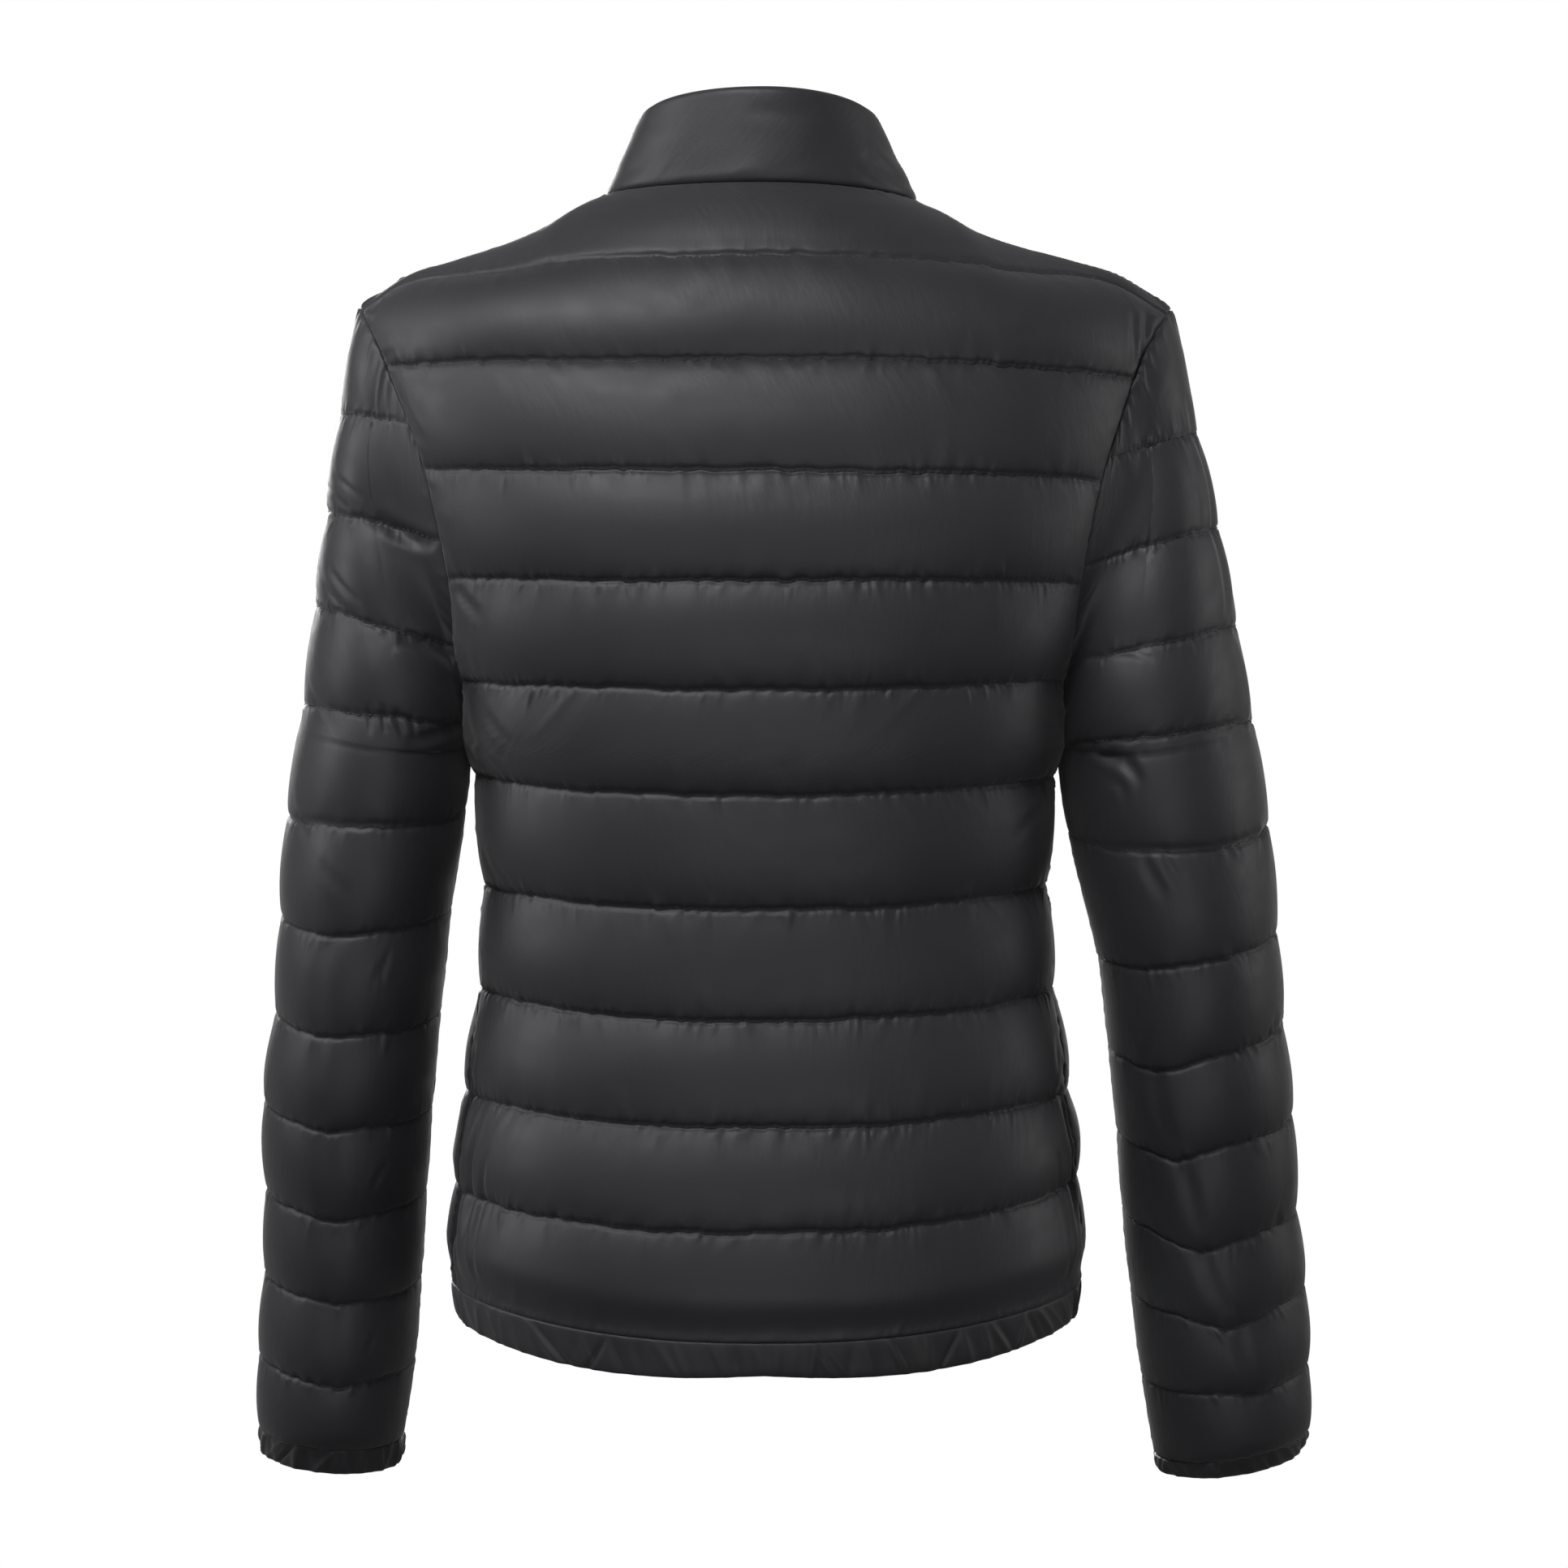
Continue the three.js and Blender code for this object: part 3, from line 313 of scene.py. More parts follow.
def neck_point(side, part, share):
    turn = np.asarray(share) * math.pi / 2
    place = SHOULDER[side]
    start = 0 if part == "back" else CENTRE_FRONT
    x = start + (place["neck_x"] - start) * np.sin(turn)
    fall = np.abs(np.cos(turn)) ** NECK_FALL_POWER
    z = place["neck_z"] + (NECK[part]["z"] - place["neck_z"]) * fall
    return points(SIDE[side] * x, NECK[part]["y"] * np.cos(turn), z)


def shoulder_point(side, share):
    place = SHOULDER[side]
    fall = share**SHOULDER_DROP_POWER * (1 - SHOULDER_STRAIGHT) + share * SHOULDER_STRAIGHT
    x = place["neck_x"] + (place["tip_x"] - place["neck_x"]) * share
    return points(SIDE[side] * x, 0, place["neck_z"] + (place["tip_z"] - place["neck_z"]) * fall)


def top_point(side, part, column):
    neck = neck_point(side, part, np.minimum(column / NECK_COLUMNS, 1))
    share = np.clip((column - NECK_COLUMNS) / (COLUMNS - NECK_COLUMNS), 0, 1)
    return np.where((column <= NECK_COLUMNS)[..., None], neck, shoulder_point(side, share))


def torso_surface(side, part, share, station):
    share, station = np.broadcast_arrays(np.asarray(share, float), np.asarray(station, float))
    last_line = FROM_LINE[part]
    at = lambda line: torso_point(side, column_angle(side, part, share, line), line)
    tube = at(np.minimum(station / STEPS, last_line))
    start = at(np.full(share.shape, float(last_line)))
    column = share * COLUMNS
    end = top_point(side, part, column)
    length = YOKE_FULLNESS * np.linalg.norm(end - start, axis=-1, keepdims=True)
    rising = unit(start - at(np.full(share.shape, last_line - 0.02))) * length
    in_x = curve(YOKE_ARRIVAL["in_x"], np.minimum(column, 5))
    up = curve(YOKE_ARRIVAL["up"], np.minimum(column, 5))
    rolling = unit(points(-SIDE[side] * in_x, -1 if part == "back" else 1, up)) * length
    t = np.clip((station - last_line * STEPS) / YOKE_STEPS[part], 0, 1)
    yoke = hermite(start, rising, end, rolling, t)
    return np.where((station > last_line * STEPS)[..., None], yoke, tube)


# Frames of the seams: the outward normal that the pieces on both sides of a seam share


def loop_point(side, s):
    """The armhole, from the underarm up the back to the shoulder's tip at 15, and down the front to 30."""
    s = np.asarray(s, dtype=float)
    back = torso_surface(side, "back", 1, UNDERARM_STATION + np.minimum(s, LOOP_HALF))
    front = torso_surface(side, "front", 1, UNDERARM_STATION + 2 * LOOP_HALF - np.maximum(s, LOOP_HALF))
    return np.where((s <= LOOP_HALF)[..., None], back, front)


def loop_normal(side, s):
    turn = math.pi * (1 - np.asarray(s) / LOOP_HALF)
    outward = ARMHOLE_OUTWARD * (1 + np.cos(turn))
    return unit(points(SIDE[side] * outward, np.sin(turn), np.cos(turn)))


def loop_across(side, s):
    small = 0.05
    low, high = np.maximum(s - small, 0), np.minimum(s + small, 2 * LOOP_HALF)
    along = unit(loop_point(side, high) - loop_point(side, low))
    across = unit(np.cross(along, loop_normal(side, s)))
    return across * np.where(across[..., :1] * SIDE[side] < 0, -1, 1)


def neck_normal(side, part, share):
    small = 0.02
    share = np.asarray(share, dtype=float)
    along = neck_point(side, part, share + small) - neck_point(side, part, share - small)
    along = unit(np.where((share >= 1)[..., None], points(0, 1, 0), along))
    along = np.where((share <= 0)[..., None], points(1, 0, 0), along)
    p = neck_point(side, part, share)
    flat = unit(p * (1, 1, 0))
    flat = np.where((share <= 0)[..., None], points(0, 1 if part == "back" else -1, 0), flat)
    normal = flat * 0.85 + points(0, 0, 0.5)
    return unit(normal - along * np.sum(normal * along, axis=-1, keepdims=True))


def top_normal(side, part, column):
    neck = neck_normal(side, part, np.minimum(column / NECK_COLUMNS, 1))
    share = np.clip((column - NECK_COLUMNS) / (COLUMNS - NECK_COLUMNS), 0, 1)
    small = 0.02
    ahead, behind = np.minimum(share + small, 1), np.maximum(share - small, 0)
    along = unit(shoulder_point(side, ahead) - shoulder_point(side, behind))
    normal = np.cross(points(0, 1, 0), along)
    normal = unit(normal * np.where(normal[..., 2:] < 0, -1, 1))
    return np.where((column <= NECK_COLUMNS)[..., None], neck, normal)


# Sleeves' middle surface


def ring_point(side, rings, at, turn):
    row = {name: curve(rings[name], at) for name in rings}
    cosine, sine = np.cos(turn), np.sin(turn)
    across = lambda out, inner: (row[out] + row[inner]) / 2 + (row[out] - row[inner]) / 2 * cosine
    z = across("out_z", "inner_z") - row["drop"] * sine
    return points(SIDE[side] * across("out_x", "inner_x"), row["y"] + row["depth"] * sine, z)


def column_turn(column):
    return math.pi * (1 - 2 * np.asarray(column, dtype=float) / SLEEVE_COLUMNS)


def row_of_line(side, q):
    first, second = RINGS[side]["q"][:2]
    return np.where(q < second, (q - first) / (second - first), q - second + 1)


def underarm_pull(side, column):
    """How far the first ring's ends are drawn to the underarm point."""
    gap = loop_point(side, 0.0) - ring_point(side, RINGS[side], 0.0, math.pi)
    near = np.clip(1 - column, 0, 1) ** 2 + np.clip(1 - (SLEEVE_COLUMNS - column), 0, 1) ** 2
    return gap * near[..., None]


def cap_surface(side, column, t):
    rings = RINGS[side]
    flat_row = np.zeros_like(column)
    upper = lambda c: ring_point(side, rings, np.zeros_like(c), column_turn(c)) + underarm_pull(side, c)

    def free(c):
        arch = CAP_STEPS + c
        start = loop_point(side, arch)
        end = upper(c)
        near_tip = 1 - np.abs(c / (SLEEVE_COLUMNS / 2) - 1)
        droop = CAP_DROOP["edge"] + (CAP_DROOP["tip"] - CAP_DROOP["edge"]) * near_tip**2
        length = np.linalg.norm(end - start, axis=-1, keepdims=True)
        leave = unit(loop_across(side, arch) + points(0, 0, -droop)) * length
        below = ring_point(side, rings, np.ones_like(c), column_turn(c))
        return hermite(start, leave, end, unit(below - end) * length, t)

    share = column / SLEEVE_COLUMNS
    near_back = np.clip(1 - share / CAP_EDGE_BLEND, 0, 1)[..., None] ** 2
    near_front = np.clip(1 - (1 - share) / CAP_EDGE_BLEND, 0, 1)[..., None] ** 2
    step = CAP_STEPS * t
    back_gap = loop_point(side, CAP_STEPS - step) - free(flat_row)
    front_gap = loop_point(side, 2 * LOOP_HALF - CAP_STEPS + step) - free(flat_row + SLEEVE_COLUMNS)
    return free(column) + back_gap * near_back + front_gap * near_front


def cap_line(side, p):
    lines = CAP_LINES[side]
    edge = abs(float(loop_point(side, CAP_EDGE_STEP)[0]))
    widest = RINGS[side]["out_x"][0]
    inward = np.clip((widest - np.abs(p[..., 0])) / (widest - edge), 0, 1)
    levels = [out + (inner - out) * inward for out, inner in zip(lines["out"], lines["edge"])]
    pairs = zip(levels, levels[1:])
    return sum(np.clip((p[..., 2] - high) / (low - high), 0, 1) for high, low in pairs)


# Fields on a grid: where a point lies along its row and column, and its normal


def run_length(p, axis):
    """Millimetres along a row or a column of a grid."""
    step = np.linalg.norm(np.diff(p, axis=axis), axis=-1)
    zero = np.zeros_like(np.take(step, [0], axis=axis))
    return np.cumsum(np.concatenate([zero, step], axis=axis), axis=axis)


def grid_normals(p, outward, closed_from=None):
    across = np.gradient(p, axis=1)
    if closed_from is not None:
        round_it = (p[closed_from:, 1] - p[closed_from:, -2]) / 2
        across[closed_from:, 0] = round_it
        across[closed_from:, -1] = round_it
    return unit(np.cross(across, np.gradient(p, axis=0))) * outward


def lean_to(normals, seam_normals, distance, reach=4):
    near = np.exp(-((distance / reach) ** 2))[..., None]
    return unit(normals * (1 - near) + seam_normals * near)


def pillow(distance, width):
    """0 at a seam, rising round to 1 at a distance from it."""
    return np.sqrt(np.maximum(0, 1 - (1 - np.clip(distance / width, 0, 1)) ** 2))


def ease(distance, width):
    """0 at a seam, rising softly to 1 at a distance from it."""
    t = np.clip(distance / width, 0, 1)
    return t * t * (3 - 2 * t)


def tuck(distance, sharp, reach):
    """0 at a seam, rising at once to a share, and softly from there to 1."""
    return sharp * (1 - np.exp(-distance / SEAM_PINCH)) + (1 - sharp) * ease(distance, reach)


def section(between):
    """The round of a channel from its lower line, 0, to its upper line, 1, fullest below the middle."""
    low = between**SAG
    return (4 * low * (1 - low)) ** ROUNDNESS


def lining_round(between):
    """The round of a channel on its inner side."""
    return np.sin(np.pi * np.clip(between, 0, 1)) ** LINING_PUFF_POWER


def smoothed(p, weight, columns):
    """The grid with each row evened out over some columns, by weight, its two ends held."""
    reach = 3 * columns
    kernel = np.exp(-0.5 * (np.arange(-reach, reach + 1) / columns) ** 2)
    kernel /= kernel.sum()
    left = 2 * p[:, :1] - p[:, reach:0:-1]
    right = 2 * p[:, -1:] - p[:, -2:-reach - 2:-1]
    wide = np.concatenate([left, p, right], axis=1)
    even = sum(k * wide[:, n:n + p.shape[1]] for n, k in enumerate(kernel))
    return p + (even - p) * weight


def puckers(seed, along, distance, spacing, length, height):
    """Short uneven ridges that run away from a seam."""
    rng = np.random.default_rng(seed)
    raised = np.zeros_like(along)
    at, stop = along.min(), along.max()
    while at < stop:
        at += spacing * rng.uniform(*PUCKER["gap"])
        reach = length * rng.uniform(*PUCKER["reach"])
        reach *= STRAY_PUCKER["longer"] if rng.random() < STRAY_PUCKER["share"] else 1
        width = spacing * rng.uniform(*PUCKER["width"])
        lean = rng.normal(0, PUCKER_LEAN)
        rise = height * rng.uniform(*PUCKER["rise"])
        across = (along - at - lean * distance) / width
        raised += rise * np.exp(-(across**2) - (distance / reach) ** 2)
    return raised * (1 - np.exp(-distance / PUCKER_START))


def creases(rows, x, z, strength=1.0):
    """Folds drawn as troughs with soft ridges beside them. Each row gives two ends, a half width, a depth
    and how far the middle bends aside, in millimetres."""
    made = np.zeros_like(x)
    for x1, z1, x2, z2, width, depth, bend in rows:
        along = np.array([x2 - x1, z2 - z1], dtype=float)
        length = np.hypot(*along)
        along /= length
        t = ((x - x1) * along[0] + (z - z1) * along[1]) / length
        aside = -(x - x1) * along[1] + (z - z1) * along[0] - bend * 4 * t * (1 - t)
        inside = np.clip(4 * t * (1 - t), 0, 1) ** 0.6
        r = (aside / width) ** 2
        made -= strength * depth * inside * (1 - r) * np.exp(-r / 1.6)
    return made


def quilting(seed, line, along, down, channel, full, puff, seams, spacing):
    """How far the outer cloth stands off the middle surface. full is the section there, line counts up,
    and channel is the channel's height. seams is a list of (distance, along, sharp share, reach, height
    of its puckers)."""
    nearest = np.round(line)
    distance = np.abs(line - nearest) * np.maximum(channel, LEAST_CHANNEL)
    soft = 1 + SOFT_LONG["amount"] * noise(seed, along / SOFT_LONG["along"], line + SOFT_LONG["start"])
    short = noise(seed + 1, along / SOFT_SHORT["along"], down / SOFT_SHORT["down"])
    soft = soft + SOFT_SHORT["amount"] * short
    slanted = (along + DRAG["slant"] * down) / DRAG["along"]
    drag = DRAG["amount"] * noise(seed + 2, slanted, down / DRAG["down"])
    edge = np.ones_like(line)
    for gap, _, sharp, reach, _ in seams:
        edge = edge * tuck(gap, sharp, reach)
    groove = GROOVE * np.exp(-((distance / GROOVE_WIDTH) ** 2))
    raised = puff * full * soft * edge + drag * full * edge - groove
    for n in range(int(nearest.min()), int(nearest.max()) + 1):
        for k, place in enumerate(("below", "above")):
            near = (nearest == n) & ((line >= nearest) == (place == "above"))
            chosen = near & (distance < LINE_PUCKER["within"])
            if not chosen.any():
                continue
            length, height = LINE_PUCKER[place]
            where = (along[chosen], distance[chosen])
            ridges = puckers(seed + 100 + 2 * n + k, *where, spacing, length, height)
            long = {"spacing": spacing, "length": length, "height": height}
            size = [LONG_PUCKER[key] * long[key] for key in LONG_PUCKER]
            ridges = ridges + puckers(seed + 500 + 2 * n + k, *where, *size)
            patch = noise(seed + 900 + n, along[chosen] / PUCKER_PATCH["along"], 0 * along[chosen])
            patch = 1 + PUCKER_PATCH["amount"] * patch
            share = (0 * line + puff)[chosen] / np.max(puff)
            raised[chosen] += ridges * patch * share * np.minimum(edge[chosen] * 1.5, 1)
    for k, (gap, run, _, _, gathered) in enumerate(seams):
        chosen = gap < SEAM_PUCKER["within"]
        size = [PUCKER_SPACING["seam"], SEAM_PUCKER["length"], gathered]
        raised[chosen] += puckers(seed + 300 + k, run[chosen], gap[chosen], *size)
    return SEAM_OUT + raised


def channel_height(down, line):
    slope = np.gradient(down, axis=0) / np.maximum(np.abs(np.gradient(line, axis=0)), 1e-4)
    return np.clip(np.abs(slope), *CHANNEL_RANGE)


# Meshes


def mesh_object(name, verts, faces, body="jacket", smooth=True):
    mesh = bpy.data.meshes.new(name)
    mesh.from_pydata([tuple(v) for v in np.asarray(verts) * METRE], [], faces)
    made = bpy.data.objects.new(name, mesh)
    bpy.context.scene.collection.objects.link(made)
    if smooth:
        mesh.polygons.foreach_set("use_smooth", [True] * len(mesh.polygons))
    mesh.update()
    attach(made, body)
    return made


def shell(name, outer, inner, uv, joined=False, coarse=COARSE):
    """A closed wall: a fine outer grid, and an inner grid with every coarse-th point. joined merges edges
    that meet, as round a tube. uv is the cloth's own place in millimetres at each outer point."""
    rows, columns = outer.shape[:2]
    inner = inner[::coarse, ::coarse]
    low_rows, low_columns = inner.shape[:2]
    count = rows * columns
    out_id = lambda i, j: i * columns + j
    in_id = lambda i, j: count + i * low_columns + j
    i, j = np.meshgrid(np.arange(rows - 1), np.arange(columns - 1), indexing="ij")
    quads = np.stack([out_id(i, j), out_id(i, j + 1), out_id(i + 1, j + 1), out_id(i + 1, j)], axis=-1)
    faces = quads.reshape(-1, 4).tolist()
    i, j = np.meshgrid(np.arange(low_rows - 1), np.arange(low_columns - 1), indexing="ij")
    quads = np.stack([in_id(i, j), in_id(i + 1, j), in_id(i + 1, j + 1), in_id(i, j + 1)], axis=-1)
    faces += quads.reshape(-1, 4).tolist()
    run = range(coarse, -1, -1)
    for j in range(low_columns - 1):
        faces.append([in_id(0, j), in_id(0, j + 1)] + [out_id(0, j * coarse + k) for k in run])
        top = [out_id(rows - 1, j * coarse + coarse - k) for k in run]
        faces.append([in_id(low_rows - 1, j + 1), in_id(low_rows - 1, j)] + top)
    for i in range(low_rows - 1):
        left = [out_id(i * coarse + coarse - k, 0) for k in run]
        faces.append([in_id(i + 1, 0), in_id(i, 0)] + left)
        faces.append([in_id(i, low_columns - 1), in_id(i + 1, low_columns - 1)]
                     + [out_id(i * coarse + k, columns - 1) for k in run])
    verts = np.concatenate([outer.reshape(-1, 3), inner.reshape(-1, 3)])
    made = mesh_object(name, verts, faces)
    place = np.concatenate([uv.reshape(-1, 2), uv[::coarse, ::coarse].reshape(-1, 2)])
    layer = made.data.uv_layers.new(name="cloth")
    loops = np.empty(len(made.data.loops), dtype=np.int64)
    made.data.loops.foreach_get("vertex_index", loops)
    layer.data.foreach_set("uv", (place[loops] / UV_LENGTH).astype(np.float32).ravel())
    tidy_mesh(made, joined)
    return made


def tidy_mesh(made, joined):
    """Merges points that meet, drops faces with no area and turns all faces out."""
    work = bmesh.new()
    work.from_mesh(made.data)
    if joined:
        bmesh.ops.remove_doubles(work, verts=work.verts, dist=2e-6)
        twice = {}
        for face in work.faces:
            twice.setdefault(frozenset(v.index for v in face.verts), []).append(face)
        doubled = [face for same in twice.values() if len(same) > 1 for face in same]
        bmesh.ops.delete(work, geom=doubled, context="FACES_ONLY")
    bmesh.ops.recalc_face_normals(work, faces=work.faces)
    work.to_mesh(made.data)
    work.free()
    made.data.update()


def wobbled(p, seed, along, line, amount=0.6):
    """The grid with its rows a little uneven, as sewn lines are."""
    up = unit(np.gradient(p, axis=0))
    short = noise(seed + 1, along / WOBBLE["short"], line)
    shift = amount * noise(seed, along / WOBBLE["long"], line) + 0.5 * amount * short
    near = np.exp(-((np.abs(line - np.round(line)) / WOBBLE["near"]) ** 2))
    scallops = noise(seed + 2, along / WOBBLE["scallop_along"], np.round(line))
    shift = shift + WOBBLE["scallop"] * near * scallops
    return p + up * shift[..., None]


# Threads, as one joined mesh of short stitches along each line of quilting

STITCH = {"length": 2.5, "gap": 0.8, "radius": 0.3, "sunk": 0.12, "from_end": 1.5, "fewest_points": 8}


def stitches(name, outer, normals, line, lines):
    """Stitches where the outer grid crosses whole lines."""
    verts, faces = [], []
    for n in lines:
        track, turned = [], []
        for j in range(outer.shape[1]):
            side = line[:, j] - n
            cross = np.nonzero((side[:-1] <= 0) != (side[1:] <= 0))[0]
            hit = np.nonzero(np.abs(side) < 1e-9)[0]
            if len(hit):
                track.append(outer[hit[0], j])
                turned.append(normals[hit[0], j])
            elif len(cross):
                i = cross[0]
                t = side[i] / (side[i] - side[i + 1])
                track.append(outer[i, j] * (1 - t) + outer[i + 1, j] * t)
                turned.append(normals[i, j])
        if len(track) < STITCH["fewest_points"]:
            continue
        sew(verts, faces, np.array(track), np.array(turned))
    made = mesh_object(name, np.array(verts), faces)
    tidy_mesh(made, False)
    dress(made, thread)


def sew(verts, faces, track, turned):
    """Adds one row of stitches along a track."""
    run = np.concatenate([[0], np.cumsum(np.linalg.norm(np.diff(track, axis=0), axis=1))])
    pitch = STITCH["length"] + STITCH["gap"]
    starts = np.arange(STITCH["from_end"], run[-1] - pitch - 1, pitch)
    at = lambda s, values: np.stack([np.interp(s, run, values[:, k]) for k in range(3)], axis=-1)
    a, b = at(starts, track), at(starts + STITCH["length"], track)
    lift = unit(at(starts + STITCH["length"] / 2, turned))
    ahead = unit(b - a)
    aside = unit(np.cross(ahead, lift))
    radius = STITCH["radius"]
    middle = (a + b) / 2 + lift * (radius - STITCH["sunk"])
    half = (b - a) / 2
    for m, h, up, out in zip(middle, half, lift, aside):
        first = len(verts)
        verts.append(m - h - up * radius)
        for end in (-0.6, 0.6):
            for turn in range(4):
                angle = math.pi / 4 + turn * math.pi / 2
                verts.append(m + h * end + radius * (math.cos(angle) * out + math.sin(angle) * up))
        verts.append(m + h - up * radius)
        for k in range(4):
            n = (k + 1) % 4
            faces.append([first, first + 1 + n, first + 1 + k])
            faces.append([first + 1 + k, first + 1 + n, first + 5 + n, first + 5 + k])
            faces.append([first + 9, first + 5 + k, first + 5 + n])


# Materials. Cloth textures use the cloth's own place, so that they run on over folds: 1 is 100 mm.


def new_material(name, colour, roughness, **sockets):
    made = bpy.data.materials.new(name)
    made.use_nodes = True
    shader = made.node_tree.nodes["Principled BSDF"]
    shader.inputs["Base Color"].default_value = (*colour, 1)
    shader.inputs["Roughness"].default_value = roughness
    for key, value in sockets.items():
        shader.inputs[key.replace("_", " ")].default_value = value
    return made, made.node_tree, shader


def add_node(tree, kind, **inputs):
    made = tree.nodes.new(kind)
    for key, value in inputs.items():
        made.inputs[key].default_value = value
    return made


def scaled_place(tree, source, scale):
    mapping = add_node(tree, "ShaderNodeMapping", Scale=scale)
    place = tree.nodes.new("ShaderNodeTexCoord")
    tree.links.new(place.outputs[source], mapping.inputs["Vector"])
    return mapping.outputs["Vector"]


def noise_node(tree, place, detail=2.0):
    made = add_node(tree, "ShaderNodeTexNoise", Scale=1.0, Detail=detail)
    tree.links.new(place, made.inputs["Vector"])
    return made.outputs["Fac"]


def colour_between(tree, value, shader, dark, light, low=0.35, high=0.65):
    ramp = tree.nodes.new("ShaderNodeValToRGB")
    ramp.color_ramp.elements[0].position = low
    ramp.color_ramp.elements[0].color = (*dark, 1)
    ramp.color_ramp.elements[1].position = high
    ramp.color_ramp.elements[1].color = (*light, 1)
    tree.links.new(value, ramp.inputs["Fac"])
    tree.links.new(ramp.outputs["Color"], shader.inputs["Base Color"])


def roughness_between(tree, value, shader, low, high):
    spread = tree.nodes.new("ShaderNodeMapRange")
    spread.inputs["From Min"].default_value = 0.3
    spread.inputs["From Max"].default_value = 0.7
    spread.inputs["To Min"].default_value = low
    spread.inputs["To Max"].default_value = high
    tree.links.new(value, spread.inputs["Value"])
    tree.links.new(spread.outputs["Result"], shader.inputs["Roughness"])


def bump_chain(tree, shader, heights):
    """Bumps one after another. heights lists (value, strength, millimetres)."""
    before = None
    for value, strength, depth in heights:
        bump = add_node(tree, "ShaderNodeBump", Strength=strength, Distance=depth * METRE)
        tree.links.new(value, bump.inputs["Height"])
        if before is not None:
            tree.links.new(before, bump.inputs["Normal"])
        before = bump.outputs["Normal"]
    tree.links.new(before, shader.inputs["Normal"])


# The wave texture's scale for one wave in each unit, and the weave's period in millimetres
WAVE_SCALE = 0.314
WEAVE_PERIOD = 0.55


def weave_height(tree, period_mm):
    """A plain weave: the product of two waves."""
    scale = WAVE_SCALE / (period_mm / UV_LENGTH)
    both = []
    for direction in ("X", "Y"):
        wave = add_node(tree, "ShaderNodeTexWave", Scale=scale, Distortion=0.4, Detail=0.0)
        wave.bands_direction = direction
        tree.links.new(scaled_place(tree, "UV", (1, 1, 1)), wave.inputs["Vector"])
        both.append(wave.outputs["Fac"])
    product = tree.nodes.new("ShaderNodeMath")
    product.operation = "MULTIPLY"
    tree.links.new(both[0], product.inputs[0])
    tree.links.new(both[1], product.inputs[1])
    return product.outputs["Value"]


def cloth_material(name, dark, light, rough, sheen):
    made, tree, shader = new_material(name, dark, rough[0])
    shader.inputs["Sheen Weight"].default_value = sheen
    shader.inputs["Sheen Roughness"].default_value = 0.45
    shader.inputs["Specular IOR Level"].default_value = 0.42
    cloud = noise_node(tree, scaled_place(tree, "Object", (9, 9, 9)), 3.0)
    colour_between(tree, cloud, shader, dark, light)
    roughness_between(tree, noise_node(tree, scaled_place(tree, "UV", (6, 9, 1)), 2.0), shader, *rough)
    fine = noise_node(tree, scaled_place(tree, "UV", (30, 9, 1)), 3.0)
    finer = noise_node(tree, scaled_place(tree, "UV", (75, 45, 1)), 2.0)
    weave = weave_height(tree, WEAVE_PERIOD)
    bump_chain(tree, shader, [(fine, 0.5, 0.3), (finer, 0.35, 0.1), (weave, 0.25, 0.04)])
    return made


shell_cloth = cloth_material(
    "shell_cloth", (0.0178, 0.0178, 0.0215), (0.0235, 0.0235, 0.028), rough=(0.48, 0.56), sheen=0.12
)
band_cloth = cloth_material(
    "band_cloth", (0.02, 0.02, 0.023), (0.027, 0.027, 0.031), rough=(0.5, 0.6), sheen=0.12
)
tape_cloth = cloth_material(
    "tape_cloth", (0.012, 0.012, 0.014), (0.018, 0.018, 0.02), rough=(0.65, 0.8), sheen=0.1
)

thread, thread_tree, thread_shader = new_material("thread", (0.034, 0.034, 0.038), 0.55)
twist = add_node(thread_tree, "ShaderNodeTexWave", Scale=900.0, Distortion=0.0)
twist.bands_direction = "DIAGONAL"
thread_tree.links.new(scaled_place(thread_tree, "Object", (1, 1, 1)), twist.inputs["Vector"])
bump_chain(thread_tree, thread_shader, [(twist.outputs["Fac"], 0.4, 0.1)])

teeth_plastic, teeth_tree, teeth_shader = new_material("teeth_plastic", (0.014, 0.014, 0.016), 0.36)
grain = noise_node(teeth_tree, scaled_place(teeth_tree, "Object", (1500, 1500, 1500)), 2.0)
bump_chain(teeth_tree, teeth_shader, [(grain, 0.2, 0.05)])
roughness_between(teeth_tree, grain, teeth_shader, 0.3, 0.42)

dark_metal = (0.05, 0.05, 0.055)
slider_metal, slider_tree, slider_shader = new_material("slider_metal", dark_metal, 0.34, Metallic=0.9)
wear = noise_node(slider_tree, scaled_place(slider_tree, "Object", (420, 420, 420)), 4.0)
colour_between(slider_tree, wear, slider_shader, (0.04, 0.04, 0.044), (0.11, 0.11, 0.115), 0.5, 0.8)
roughness_between(slider_tree, wear, slider_shader, 0.28, 0.46)
bump_chain(slider_tree, slider_shader, [(wear, 0.25, 0.04)])


def dress(piece, material):
    piece.data.materials.clear()
    piece.data.materials.append(material)


# Torso panels

